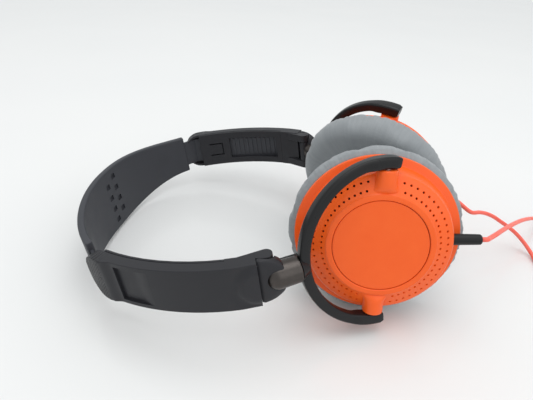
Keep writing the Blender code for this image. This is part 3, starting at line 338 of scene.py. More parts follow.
def gunmetal():
    """Anodised aluminium, turned: warm dark grey metal with fine marks round it and a bright streak."""
    made, tree, shader = finish("gunmetal_anodised_aluminium", Metallic=1.0)
    at = node(tree, "TexCoord", {}).outputs["Object"]
    marks = mottle(tree, at, 0.7, 4.0)
    return fed(made, tree, shader, between(tree, mottle(tree, at, 5.0, 2.0), "#464240", "#57524F"),
               ranged(tree, marks, 0.3, 0.7, 0.28, 0.4), raised(tree, marks, 0.2, 0.01))


def plated_steel():
    """Nickel-plated steel, turned: bright, slightly warm, with small scratches."""
    made, tree, shader = finish("nickel_plated_steel", Metallic=1.0)
    scratches = mottle(tree, node(tree, "TexCoord", {}).outputs["Object"], 0.8, 5.0)
    return fed(made, tree, shader, between(tree, scratches, "#B3B1AD", "#C9C7C2"),
               ranged(tree, scratches, 0.35, 0.7, 0.18, 0.34))


def protein_leather():
    """Polyurethane leatherette over foam: cool grey, soft sheen, small pebbles and creases round the ring, with
    painted shade darkening the creases' hollows.
    """
    made, tree, shader = finish("grey_leatherette", IOR=1.5, Sheen_Weight=0.15, Sheen_Roughness=0.5)
    at = node(tree, "TexCoord", {}).outputs["Object"]
    ring = node(tree, "Attribute", {}, attribute_name="round_ring").outputs["Vector"]
    pebbles = node(tree, "TexVoronoi", {"Vector": at, "Scale": per_mm(1.1)}, feature="DISTANCE_TO_EDGE")
    crease_height_and_shade = node(tree, "TexNoise", {"Vector": ring, "Scale": 1.0, "Detail": 3.0,
                                      "Roughness": 0.6}).outputs["Fac"]
    mottled_tone = between(tree, mottle(tree, at, 14.0, 3.0), "#868C90", "#969B9E")
    fine = raised(tree, ranged(tree, pebbles.outputs["Distance"], 0.0, 0.16), 0.35, 0.06)
    # The creases' hollows are painted darker: painted shade in the creases.
    return fed(made, tree, shader, between(tree, crease_height_and_shade, "#7E8488", mottled_tone),
               ranged(tree, crease_height_and_shade, 0.3, 0.7, 0.62, 0.48), raised(tree, crease_height_and_shade, 0.5, 0.5, Normal=fine))


def speaker_mesh():
    """Polyester mesh, woven, stretched over the driver: black with open cells of about 1 mm."""
    made, tree, shader = finish("black_woven_mesh", IOR=1.5, Roughness=0.9, Sheen_Weight=0.2)
    cells = node(tree, "TexVoronoi", {"Vector": node(tree, "UVMap", {}).outputs["UV"], "Scale": per_mm(1.1),
                                      "Randomness": 0.0}, feature="DISTANCE_TO_EDGE", voronoi_dimensions="2D")
    threads = ranged(tree, cells.outputs["Distance"], 0.1, 0.3)
    bump = node(tree, "Bump", {"Height": threads, "Strength": 0.6, "Distance": 0.2 * MM}, invert=True)
    return fed(made, tree, shader, between(tree, threads, "#242426", "#0E0E0F"), None, bump.outputs["Normal"])


def cable_jacket():
    """TPE jacket, extruded: coral red, satin, a little light passing into it, faint marks along it."""
    made, tree, shader = finish("coral_red_tpe", IOR=1.5, Subsurface_Weight=0.12, Subsurface_Scale=0.6 * MM)
    at = node(tree, "TexCoord", {}).outputs["Object"]
    marks = mottle(tree, at, 0.8, 2.0)
    return fed(made, tree, shader, between(tree, mottle(tree, at, 6.0, 3.0), "#F0604F", "#F67060"),
               ranged(tree, marks, 0.3, 0.7, 0.36, 0.5), raised(tree, marks, 0.2, 0.03))


grip_dots(ARM_ABS)
GUNMETAL = gunmetal()
STEEL = plated_steel()
LEATHER = protein_leather()
MESH_CLOTH = speaker_mesh()
CABLE_TPE = cable_jacket()


# ---------------------------------------------------------------- making pieces

def smooth_share(low, high, value):
    share = min(max((value - low) / (high - low), 0.0), 1.0)
    return share * share * (3 - 2 * share)


def rounded(bm, edges, offset, segments):
    bmesh.ops.bevel(bm, geom=edges, offset=offset, offset_type="OFFSET", segments=segments, profile=0.5,
                    affect="EDGES", clamp_overlap=True, material=-1)


def soften(bm, offset, segments):
    """Rounds every edge sharper than SHARP."""
    rounded(bm, [e for e in bm.edges if e.is_manifold and e.calc_face_angle() > SHARP], offset, segments)


def put(name, data):
    """A new object in the scene."""
    obj = bpy.data.objects.new(name, data)
    SCENE.collection.objects.link(obj)
    return obj


def piece(name, bm, place, look, body, replaces=(), sharp=35, even=True):
    """Puts a finished bmesh in its place as a piece that rides on a body."""
    bmesh.ops.remove_doubles(bm, verts=bm.verts, dist=0.002 * MM)
    bmesh.ops.recalc_face_normals(bm, faces=bm.faces)
    bmesh.ops.transform(bm, matrix=place, verts=bm.verts)
    data = bpy.data.meshes.new(name)
    bm.to_mesh(data)
    bm.free()
    data.shade_smooth()
    data.set_sharp_from_angle(angle=math.radians(sharp))
    data.materials.append(look)
    obj = put(name, data)
    if even:
        obj.modifiers.new("even_shading", "WEIGHTED_NORMAL").keep_sharp = True
    if body:
        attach(obj, body)
    if replaces:
        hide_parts(*replaces)
    return obj


def settle(obj):
    """Applies a piece's modifiers to its mesh."""
    graph = bpy.context.evaluated_depsgraph_get()
    data = bpy.data.meshes.new_from_object(obj.evaluated_get(graph))
    obj.modifiers.clear()
    obj.data = data
    return obj


def carve(obj, bm, operation="DIFFERENCE"):
    """Cuts a piece by another shape, or joins it, and keeps only the result."""
    tool = piece(obj.name + "_tool", bm, Matrix(), obj.data.materials[0], None, even=False)
    step = obj.modifiers.new("carve", "BOOLEAN")
    step.operation = operation
    step.object = tool
    step.solver = "EXACT"
    settle(obj)
    bpy.data.objects.remove(tool)
    return obj


def take_in(bm, other):
    """Adds another bmesh to this one, and frees it."""
    spare = bpy.data.meshes.new("spare")
    other.to_mesh(spare)
    other.free()
    bm.from_mesh(spare)
    bpy.data.meshes.remove(spare)


def near(radius, height, *steps):
    """Points of a profile, each some millimetres from one corner."""
    return [(radius + r * MM, height + z * MM) for r, z in steps]


def outline_spin(profile, steps, closed=False):
    """A profile of (radius, height) turned round Z."""
    bm = bmesh.new()
    points = [bm.verts.new((r, 0, z)) for r, z in profile]
    edges = [bm.edges.new(pair) for pair in zip(points, points[1:])]
    if closed:
        edges.append(bm.edges.new((points[-1], points[0])))
    bmesh.ops.spin(bm, geom=points + edges, cent=(0, 0, 0), axis=(0, 0, 1), angle=2 * math.pi, steps=steps,
                   use_merge=True)
    bmesh.ops.remove_doubles(bm, verts=bm.verts, dist=0.002 * MM)
    bmesh.ops.recalc_face_normals(bm, faces=bm.faces)
    return bm


def bar(bm, start, end, radius, sides=32, end_radius=None):
    """Adds a round bar between two points."""
    start, end = Vector(start), Vector(end)
    made = bmesh.ops.create_cone(bm, cap_ends=True, segments=sides, radius1=radius,
                                 radius2=radius if end_radius is None else end_radius,
                                 depth=(end - start).length)["verts"]
    bmesh.ops.transform(bm, matrix=Matrix.Translation((start + end) / 2) @ aimed(end - start), verts=made)
    return made


def brick(bm, low, high):
    """Adds a box between two corners."""
    low, high = Vector(low), Vector(high)
    made = bmesh.ops.create_cube(bm, size=1)["verts"]
    bmesh.ops.scale(bm, vec=high - low, verts=made)
    bmesh.ops.translate(bm, vec=(low + high) / 2, verts=made)
    return made


def ring_of(bm, place, half_x, half_y, power=2.0, count=24):
    """Adds a ring, round or squared by its power, in a frame's XY plane."""
    made = bmesh.ops.create_circle(bm, segments=count, radius=1.0)["verts"]
    for vert in made:
        c, s = vert.co.x, vert.co.y
        vert.co = place @ Vector((half_x * math.copysign(abs(c) ** (2 / power), c),
                                  half_y * math.copysign(abs(s) ** (2 / power), s), 0))
    return list({e for v in made for e in v.link_edges})


def loft(bm, rings, close=True):
    """Skins neighbouring rings and closes both ends."""
    for near, far in zip(rings, rings[1:]):
        bmesh.ops.bridge_loops(bm, edges=near + far)
    if close:
        for ring in (rings[0], rings[-1]):
            bmesh.ops.contextual_create(bm, geom=ring)


def verts_in(geom):
    return {v for v in geom if isinstance(v, bmesh.types.BMVert)}


def stretched(bm, points):
    """Adds the closed solid stretched round a set of points."""
    verts = [bm.verts.new(p) for p in points]
    made = bmesh.ops.convex_hull(bm, input=verts)
    spare = verts_in([*made["geom_interior"], *made["geom_unused"]])
    bmesh.ops.delete(bm, geom=list(spare), context="VERTS")


def circle(centre, axis, radius, count=24):
    turn = Vector(axis).to_track_quat("Z", "Y")
    return [Vector(centre) + turn @ Vector((radius * math.cos(a), radius * math.sin(a), 0))
            for a in (2 * math.pi * i / count for i in range(count))]


# ---------------------------------------------------------------- camera, table and light

def set_camera():
    data = bpy.data.cameras.new("photo_view")
    data.lens = EYE_LENS
    data.sensor_width = 36.0
    data.clip_start = 0.005
    SCENE.camera = put("photo_view", data)
    SCENE.camera.matrix_world = Matrix.Translation(EYE) @ along_axes(EYE_RIGHT, EYE_UP, -EYE_AHEAD)


def set_table():
    """Pale laminate table: cool white with a soft reflection."""
    bm = bmesh.new()
    bmesh.ops.create_grid(bm, x_segments=1, y_segments=1, size=6.0)
    data = bpy.data.meshes.new("table")
    bm.to_mesh(data)
    bm.free()
    made, tree, shader = finish("pale_satin_laminate", IOR=1.45)
    at = node(tree, "TexCoord", {}).outputs["Object"]
    clouds = mottle(tree, at, 180.0, 2.0)
    data.materials.append(fed(made, tree, shader, between(tree, clouds, "#DDE0E1", "#E2E4E4"),
                              ranged(tree, clouds, 0.0, 1.0, 0.14, 0.2)))
    put("table", data)


def set_light():
    """Even daylight from all round, one broad soft window above and a weaker one from the side."""
    world = bpy.data.worlds.new("room")
    SCENE.world = world
    world.use_nodes = True
    tree = world.node_tree
    tree.nodes.clear()
    ray = node(tree, "LightPath", {})
    seen = node(tree, "Math", {0: ray.outputs["Is Camera Ray"], 1: ray.outputs["Is Glossy Ray"]},
                operation="MAXIMUM")
    through = node(tree, "Math", {0: seen.outputs["Value"], 1: ray.outputs["Is Transmission Ray"]},
                   operation="MAXIMUM")
    lit = node(tree, "Background", {"Color": linear("#FAF9F8"), "Strength": 0.95})
    shown = node(tree, "Background", {"Color": linear("#EEF1F2"), "Strength": 0.95})
    both = node(tree, "MixShader", {0: through.outputs["Value"], 1: lit.outputs["Background"],
                                    2: shown.outputs["Background"]})
    node(tree, "OutputWorld", {"Surface": both.outputs["Shader"]})
    for name, at, size, power in (("window", (0.02, 0.02, 1.15), 0.9, 5.0),
                                  ("side_fill", (0.7, -0.55, 0.6), 0.9, 1.7)):
        data = bpy.data.lights.new(name, "AREA")
        data.shape = "SQUARE"
        data.size = size
        data.energy = power
        data.color = linear("#FFFFFF")[:3]
        aim = Vector((0.02, 0.0, 0.02)) - Vector(at)
        put(name, data).matrix_world = Matrix.Translation(at) @ aimed(aim, "-Z")
    SCENE.view_settings.view_transform = "Standard"


# ---------------------------------------------------------------- cords

def smooth_route(points, share):
    """A curve through the points, as short straight steps."""
    points = [Vector(p) for p in points]
    padded = [2 * points[0] - points[1], *points, 2 * points[-1] - points[-2]]
    route = []
    for a, b, c, d in zip(padded, padded[1:], padded[2:], padded[3:]):
        for i in range(share):
            t = i / share
            route.append(0.5 * (2 * b + (c - a) * t + (2 * a - 5 * b + 4 * c - d) * t * t
                                + (3 * b - a - 3 * c + d) * t ** 3))
    return [*route, points[-1]]


def cord(name, replaced, route, rings=4):
    data = bpy.data.curves.new(name, "CURVE")
    data.dimensions = "3D"
    spline = data.splines.new("POLY")
    spline.points.add(len(route) - 1)
    for point, at in zip(spline.points, route):
        point.co = (*at, 1)
    spline.use_smooth = True
    data.bevel_depth = CABLE_RADIUS
    data.bevel_resolution = rings
    data.use_fill_caps = True
    data.materials.append(CABLE_TPE)
    obj = put(name, data)
    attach(obj, "headband")
    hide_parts(replaced)
    length = sum((b - a).length for a, b in zip(route, route[1:]))
    return obj, length


def branch_route(side):
    out = Matrix.Rotation(SIDE_SIGN[side] * RELIEF_ANGLE[side], 4, "Z") @ Vector((1, 0, 0))
    tip = CUP[side] @ (out * RELIEF_END + Vector((0, 0, RELIEF_DEPTH)))
    way = (CUP[side].to_3x3() @ out).normalized()
    into = SPLITTER_AT + Vector((0, -SIDE_SIGN[side] * BRANCH_SPREAD / 2, 0))
    ends = [into - Vector((reach, 0, 0)) for reach in (CORD_GAP + 2.5 * CABLE_RADIUS, CORD_GAP)]
    start = [tip + way * reach for reach in (CORD_GAP, CORD_GAP + 2 * CABLE_RADIUS)]
    return smooth_route([*start, *[Vector(p) * MM for p in ROUTES[side]], *ends], 6)


def coil_centre():
    return SPLITTER_AT + Vector((SPLITTER_SIZE.x + COIL_LEAD, -COIL_OUTER, 0))


def coil_route():
    """Two flat spiral layers, the lower wound inwards and the upper outwards, with both leads."""
    centre = coil_centre()
    inner = COIL_OUTER - COIL_PITCH * COIL_TURNS
    route = [SPLITTER_AT + Vector((SPLITTER_SIZE.x + reach, 0, 0)) for reach in (CORD_GAP, 3 * MM, 6.5 * MM)]
    route += [Vector((centre.x - reach, SPLITTER_AT.y, CABLE_REST)) for reach in (4.5 * MM, 2.2 * MM)]
    for i in range(int((2 * COIL_TURNS + 0.5) * COIL_POINTS) + 1):
        turn = i / COIL_POINTS
        climb = min(max((turn - COIL_TURNS) * 2, 0), 1)
        radius = max(COIL_OUTER - COIL_PITCH * turn, inner) - COIL_CLIMB * climb
        after = turn - COIL_TURNS - 0.5
        if after > 0:
            radius += (COIL_PITCH + COIL_SWELL) * min(after, 1) + COIL_PITCH * max(after - 1, 0)
        angle = math.pi / 2 - 2 * math.pi * turn
        route.append(Vector((centre.x + radius * math.cos(angle), centre.y + radius * math.sin(angle),
                             CABLE_REST + COIL_PITCH * climb)))
    last = route[-1]
    axis = PLUG_RADIUS + 0.05 * MM
    route += [Vector((last.x - TAIL_LENGTH * share, last.y - 0.3 * MM * share,
                      last.z + (axis - last.z) * share)) for share in (0.2, 0.4, 0.6, 0.8, 1.0)]
    return route


def make_splitter():
    """Small moulded block where the two branches join, with a waist and grooves."""
    bm = bmesh.new()
    half = SPLITTER_SIZE / 2
    rings = []
    for share, scale in ((0.0, 0.86), (0.06, 1.0), (0.3, 1.0), (0.42, 0.9), (0.54, 1.0), (0.72, 0.98),
                         (0.9, 0.72), (1.0, 0.6)):
        place = Matrix.Translation(SPLITTER_AT + Vector((SPLITTER_SIZE.x * share, 0, 0)))
        place = place @ Matrix.Rotation(math.pi / 2, 4, "Y")
        rings.append(ring_of(bm, place, half.z * scale, half.y * scale, 3.2, 32))
    loft(bm, rings)
    return piece("splitter_block", bm, Matrix(), RELIEF_RUBBER, "headband", ["cable_splitter"])


def make_plug(end):
    """Moulded plug body with a ribbed neck, and its turned jack with two shallow grooves."""
    def lying(at):
        return Matrix.Translation(at) @ Matrix.Rotation(-math.pi / 2, 4, "Y")
    r, length = PLUG_RADIUS, PLUG_LENGTH
    profile = [(0, length), *near(r, length, (-0.7, 0), (0, -0.7)), (r, 7 * MM), (2.6 * MM, 5.2 * MM)]
    for i in range(3):
        profile += near(0, (4.6 - 1.5 * i) * MM, (2.55, 0), (2.55, -0.7), (2.1, -0.8), (2.1, -1.4))
    profile += [(2.1 * MM, 0), (0, 0)]
    bm = outline_spin(profile, 40)
    soften(bm, 0.15 * MM, 2)
    body = piece("plug_grip", bm, lying(end - Vector((CORD_GAP, 0, 0))), RELIEF_RUBBER, "headband",
                 ["plug_body"])
    r, length = JACK_RADIUS, JACK_LENGTH
    neck = length - 3.6 * MM
    profile = [*near(0, length, (0, 0), (0.5, -0.05)), *near(r, neck, (-0.1, 1.9), (-0.55, 0.9), (0, 0))]
    for z in (10.0, 6.2):
        profile += near(r, z * MM, (0, 0), (-0.08, -0.02), (-0.08, -0.6), (0, -0.62))
    bm = outline_spin([*profile, (r, 0), (0, 0)], 40)
    at = end - Vector((2 * CORD_GAP + PLUG_LENGTH, 0, 0))
    jack = piece("jack_pin", bm, lying(at), STEEL, "headband", ["plug_jack"])
    return body, jack


def make_tie():
    """Soft strap closed round the coil's turns."""
    bm = bmesh.new()
    centre = coil_centre()
    low, high = 7.9 * MM, COIL_OUTER + CABLE_RADIUS + 0.9 * MM
    top = CABLE_REST + COIL_PITCH + CABLE_RADIUS + 0.6 * MM
    middle = Vector((centre.x + (low + high) / 2, centre.y, top / 2))
    rings = []
    for count, thick in ((48, 0.0), (48, 0.45 * MM)):
        for shift in (-2.5 * MM, 2.5 * MM):
            place = Matrix.Translation(middle + Vector((0, shift, 0))) @ Matrix.Rotation(math.pi / 2, 4, "X")
            rings.append(ring_of(bm, place, (high - low) / 2 + thick - 0.45 * MM, top / 2 + thick - 0.45 * MM,
                                 5.0, count))
    inner_near, inner_far, outer_near, outer_far = rings
    loft(bm, [inner_near, outer_near, outer_far, inner_far], close=False)
    bmesh.ops.bridge_loops(bm, edges=inner_far + inner_near)
    soften(bm, 0.12 * MM, 2)
    return piece("coil_strap", bm, Matrix(), RELIEF_RUBBER, "headband", ())


def make_cords():
    splitter = make_splitter()
    for side in SIDE_SIGN:
        route = branch_route(side)
        branch, length = cord(f"{side}_branch", f"cable_{side}", route)
    route = coil_route()
    coil, length = cord("main_cable", "cable_coil", route)
    body, jack = make_plug(route[-1])
    make_tie()


# ---------------------------------------------------------------- headband

def crown_point(angle):
    c, s = math.cos(angle), math.sin(angle)
    return Vector((CROWN_HALF_WIDTH * math.copysign(abs(c) ** (2 / CROWN_POWER), c),
                   CROWN_BASE + CROWN_RISE * abs(s) ** (2 / CROWN_POWER), 0))


def make_bridge():
    """The crown's bent plate with rounded edges and notches inside, in two halves that meet at the top."""
    last = math.asin((BRIDGE_END_RISE / CROWN_RISE) ** (CROWN_POWER / 2))
    bm = bmesh.new()
    bmesh.ops.create_grid(bm, x_segments=120, y_segments=8, size=0.5)
    for vert in bm.verts:
        share = vert.co.x + 0.5
        angle = last + (math.pi - 2 * last) * share
        ease = smooth_share(last, math.pi / 2, min(angle, math.pi - angle))
        wide = BRIDGE_WIDTH_END + (BRIDGE_WIDTH_TOP - BRIDGE_WIDTH_END) * ease
        side_way = vert.co.y
        out = (crown_point(angle) - Vector((0, CROWN_BASE, 0))).normalized()
        vert.co = crown_point(angle) + Vector((0, 0, side_way * wide)) + out * BRIDGE_THICK / 2
    bmesh.ops.recalc_face_normals(bm, faces=bm.faces)
    middle = min(bm.faces, key=lambda f: abs(f.calc_center_median().x) + abs(f.calc_center_median().z))
    if middle.normal.y < 0:
        bmesh.ops.reverse_faces(bm, faces=bm.faces)
    bmesh.ops.solidify(bm, geom=bm.faces[:], thickness=BRIDGE_THICK)
    soften(bm, 1.25 * MM, 5)
    bridge = piece("bridge", bm, Matrix(), BAND_NYLON, None, even=False)
    cuts = bmesh.new()
    inner = CROWN_BASE + CROWN_RISE - BRIDGE_THICK / 2
    for row in range(4):
        for column in (0, 1):
            z = (row - 1.5) * NOTCH_PITCH + (column - 0.5) * NOTCH_PITCH / 2
            x = (column - 0.5) * 2 * NOTCH.x
            at = Vector((x, inner, z))
            brick(cuts, at - NOTCH / 2, at + NOTCH / 2)
    soften(cuts, 0.35 * MM, 3)
    carve(bridge, cuts)
    half = bmesh.new()
    half.from_mesh(bridge.data)
    made = bmesh.ops.bisect_plane(half, geom=half.verts[:] + half.edges[:] + half.faces[:], dist=1e-6,
                                  plane_co=(0, 0, 0), plane_no=(-1, 0, 0), clear_outer=True)
    rim = [e for e in made["geom_cut"] if isinstance(e, bmesh.types.BMEdge)]
    bmesh.ops.holes_fill(half, edges=rim, sides=0)
    for side in SIDE_SIGN:
        obj = piece(f"crown_half_{side}", half.copy(), HALF[side], BAND_NYLON, None,
                    ["headband_bridge"] if side == "left" else [])
        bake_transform(obj)
    half.free()
    bpy.data.objects.remove(bridge)


# ---------------------------------------------------------------- sliding arm

def lug(radius, low, high):
    """Points round a lug that runs from the hinge into the arm, between two heights."""
    points = []
    for z in (low, high):
        points += circle(HINGE + Vector((0, 0, z)), UP, radius)
        points += [arm_point(ARM_RADIUS - ARM_THICK + 0.6 * MM, math.radians(a), z) for a in LUG_ROOTS]
    return points


def arm_outline():
    """Outer face in narrow strips, then round the walls, as (radius, z)."""
    strips = [-ARM_HALF, -10.1 * MM, -RECESS_HALF, *[i * 1.5 * MM for i in range(-5, 6)],
              RECESS_HALF, 10.1 * MM, ARM_HALF]
    return [(ARM_RADIUS, z) for z in strips]


def arm_height(angle, z):
    """How far the outer face stands proud of its arc: the grip's ridge and the round pad over the fold."""
    rise = RIDGE_RISE * smooth_share(RIDGE_START, RIDGE_TOP, angle)
    if angle > RIDGE_TOP:
        rise -= (RIDGE_RISE + 0.5 * MM) * ((angle - RIDGE_TOP) / (ARM_MOUTH - RIDGE_TOP)) ** 1.5
    along = ARM_RADIUS * (angle - LOBE_ANGLE)
    away = math.hypot(along, z)
    rise += LOBE_RISE * (1 - smooth_share(LOBE_RADIUS * 0.8, LOBE_RADIUS, away))
    hollow = 1 - smooth_share(LOBE_RADIUS * 1.02, LOBE_RADIUS * 1.45, away)
    return rise - 0.4 * MM * hollow * smooth_share(LOBE_RADIUS * 0.8, LOBE_RADIUS, away)


def make_arm(side):
    """Sliding arm: curved channel with a solid foot, a stippled grip, a ramped recess and hinge ears."""
    inner = ARM_RADIUS - ARM_THICK
    seat = inner + COVER_THICK + 0.3 * MM
    roof = ARM_RADIUS - ARM_WALL
    inside = ARM_HALF - 1.4 * MM
    channel = arm_outline() + [(seat, ARM_HALF), (seat, inside), (roof, inside), (roof, -inside),
                               (seat, -inside), (seat, -ARM_HALF)]
    solid = arm_outline() + [(seat, ARM_HALF), (inner, ARM_HALF), (inner, -ARM_HALF), (seat, -ARM_HALF)]
    bm = bmesh.new()
    for outline, stops in ((solid, (ARM_FOOT, ARM_BLOCK_END)),
                           (channel, (ARM_BLOCK_END, RECESS_START, RECESS_RAMP, RECESS_END, RIDGE_START,
                                      ARM_MOUTH))):
        turn = Matrix.Rotation(stops[0], 4, "Z")
        start = bm.faces.new([bm.verts.new(turn @ Vector((r, 0, z))) for r, z in outline])
        geom = [start, *start.edges, *start.verts]
        for low, high in zip(stops, stops[1:]):
            steps = max(1, round((high - low) / math.radians(0.62)))
            geom = bmesh.ops.spin(bm, geom=geom, cent=(0, 0, 0), axis=(0, 0, 1), angle=high - low,
                                  steps=steps, use_duplicate=False)["geom_last"]
    outer = [f for f in bm.faces if all(abs(v.co.xy.length - ARM_RADIUS) < 1e-6 for v in f.verts)]

    def middle(face):
        at = face.calc_center_median()
        return math.atan2(at.y, at.x), at.z

    sunk = [f for f in outer if RECESS_START < middle(f)[0] < RECESS_END and abs(middle(f)[1]) < RECESS_HALF]
    sunk_verts = verts_in(bmesh.ops.extrude_face_region(bm, geom=sunk)["geom"])
    for vert in sunk_verts:
        angle = math.atan2(vert.co.y, vert.co.x)
        deep = RECESS_DEEP * smooth_share(RECESS_START, RECESS_RAMP + 0.02, angle)
        vert.co.xy *= 1 - max(deep, 0.02 * MM) / ARM_RADIUS
    bmesh.ops.delete(bm, geom=sunk, context="FACES")
    for vert in bm.verts:
        angle = math.atan2(vert.co.y, vert.co.x)
        if vert not in sunk_verts and vert.co.xy.length > ARM_RADIUS - 1e-6:
            vert.co.xy *= 1 + arm_height(angle, vert.co.z) / ARM_RADIUS
        from_end = ARM_RADIUS * (ARM_MOUTH - angle)
        if from_end < MOUTH_ROUND:
            cut = MOUTH_ROUND - math.sqrt(max(MOUTH_ROUND ** 2 - (MOUTH_ROUND - from_end) ** 2, 0))
            vert.co.z *= 1 - cut / ARM_HALF
    rim = [e for e in bm.edges if all(v.co.xy.length > ARM_RADIUS - 1.2 * MM for v in e.verts)
           and all(abs(v.co.z) > 3.5 * MM for v in e.verts) and e.is_manifold
           and e.calc_face_angle() > math.radians(60)
           and any(abs(f.normal.z) > 0.6 for f in e.link_faces)
           and not any(v in sunk_verts for v in e.verts)
           and all(abs(v.co.z) > RECESS_HALF + 0.5 * MM or math.atan2(v.co.y, v.co.x) > RIDGE_START
                   for v in e.verts)]
    rounded(bm, rim, 0.95 * MM, 5)
    soften(bm, 0.2 * MM, 2)
    bmesh.ops.translate(bm, vec=ARM_CENTRE, verts=bm.verts)
    for sign in (-1, 1):
        low, high = sorted((sign * EAR_INNER, sign * (ARM_HALF - 0.2 * MM)))
        ear = bmesh.new()
        stretched(ear, lug(BARREL_RADIUS, low, high))
        soften(ear, 0.35 * MM, 3)
        take_in(bm, ear)
    obj = piece(f"arm_shell_{side}", bm, HALF[side], ARM_ABS, f"{side}_arm", [f"arm_housing_{side}"])
    back = HALF[side].inverted()
    obj.data.attributes.new("grip", "FLOAT_VECTOR", "POINT")
    obj.data.attributes.new("grip_share", "FLOAT", "POINT")
    place, share = obj.data.attributes["grip"], obj.data.attributes["grip_share"]
    for i in range(len(obj.data.vertices)):
        at = back @ obj.data.vertices[i].co - ARM_CENTRE
        angle = math.atan2(at.y, at.x)
        along = ARM_RADIUS * angle / (1.15 * MM)
        across = at.z / (1.15 * MM)
        place.data[i].vector = (along * 0.7071 + across * 0.7071, across * 0.7071 - along * 0.7071, 0)
        on_top = smooth_share(ARM_RADIUS - 1.6 * MM, ARM_RADIUS - 1.0 * MM, at.xy.length)
        share.data[i].value = smooth_share(RIDGE_TOP + 0.01, RIDGE_TOP + 0.025, angle) * on_top
    return obj


# ---------------------------------------------------------------- knuckle and swivel tube

def make_knuckle(side):
    """Block under the arm's foot: a wide squared end that runs into a round neck, with the hinge barrel."""
    foot, tube = tube_line(side)
    inner = ARM_RADIUS - (ARM_THICK + KNUCKLE_THICK) / 2
    split = ARM_FOOT - 0.15 * MM / ARM_RADIUS
    middle = arm_point(inner + KNUCKLE_THICK / 2, split)
    radial = Vector((math.cos(split), math.sin(split), 0))
    down = Vector((math.sin(split), -math.cos(split), 0))
    bm = bmesh.new()
    rings = []
    steps = 16
    for i in range(steps + 1):
        share = i / steps
        ease = smooth_share(0, 1, share)
        way = down.lerp(tube, ease).normalized()
        across = Vector((-way.y, way.x, 0))
        if across.dot(radial) < 0:
            across.negate()
        at = middle.lerp(foot + tube * (TUBE_START + 2.6 * MM), share)
        place = Matrix.Translation(at) @ along_axes(across, UP, across.cross(UP))
        narrow = 1 - math.sqrt(1 - 0.98 * share * share)
        round_off = 0.5 * MM * (1 - min(share * 9, 1))
        rings.append(ring_of(bm, place, KNUCKLE_THICK / 2 + (3.6 * MM - KNUCKLE_THICK / 2) * ease - round_off,
                             ARM_HALF + (TUBE_RADIUS + 0.2 * MM - ARM_HALF) * narrow - round_off,
                             7.0 - 4.2 * smooth_share(0.05, 0.9, share), 40))
    loft(bm, rings)
    obj = piece(f"knuckle_{side}", bm, Matrix(), ARM_ABS, None, even=False)
    join = bmesh.new()
    barrel = []
    for z in (-EAR_INNER + 0.35 * MM, EAR_INNER - 0.35 * MM):
        barrel += circle(HINGE + Vector((0, 0, z)), (0, 0, 1), BARREL_RADIUS)
        barrel += [arm_point(inner + 0.2 * MM, split - 0.002, z),
                   foot + tube * (TUBE_START - 0.5 * MM) + Vector((0, 0, z * 0.85))]
    stretched(join, barrel)
    carve(obj, join, "UNION")
    for sign in (-1, 1):
        room = bmesh.new()
        low, high = sorted((sign * (EAR_INNER - 0.35 * MM), sign * (ARM_HALF + 1 * MM)))
        stretched(room, lug(BARREL_RADIUS + 0.45 * MM, low, high))
        carve(obj, room)
    bm = bmesh.new()
    bm.from_mesh(obj.data)
    bpy.data.objects.remove(obj)
    piece(f"knuckle_block_{side}", bm, HALF[side], ARM_ABS, f"{side}_knuckle", [f"fold_knuckle_{side}"])
    start = foot + tube * (TUBE_START + 0.3 * MM)
    turn = Matrix.Translation(start) @ aimed(tube)
    r, length, bore = TUBE_RADIUS, TUBE_LENGTH, STEM_RADIUS + 0.35 * MM
    nose = [(r * math.sin(math.radians(a)), -5.6 * MM * math.cos(math.radians(a))) for a in range(0, 91, 9)]
    bm = outline_spin([*nose, *near(r, length, (-0.25, -0.9), (-0.3, 0)), (bore, length), (bore, 0.3 * MM),
                       (0, 0.3 * MM)], 64)
    soften(bm, 0.22 * MM, 3)
    piece(f"tube_sleeve_{side}", bm, HALF[side] @ turn, GUNMETAL, f"{side}_knuckle",
          [f"swivel_tube_{side}"])


# ---------------------------------------------------------------- yoke

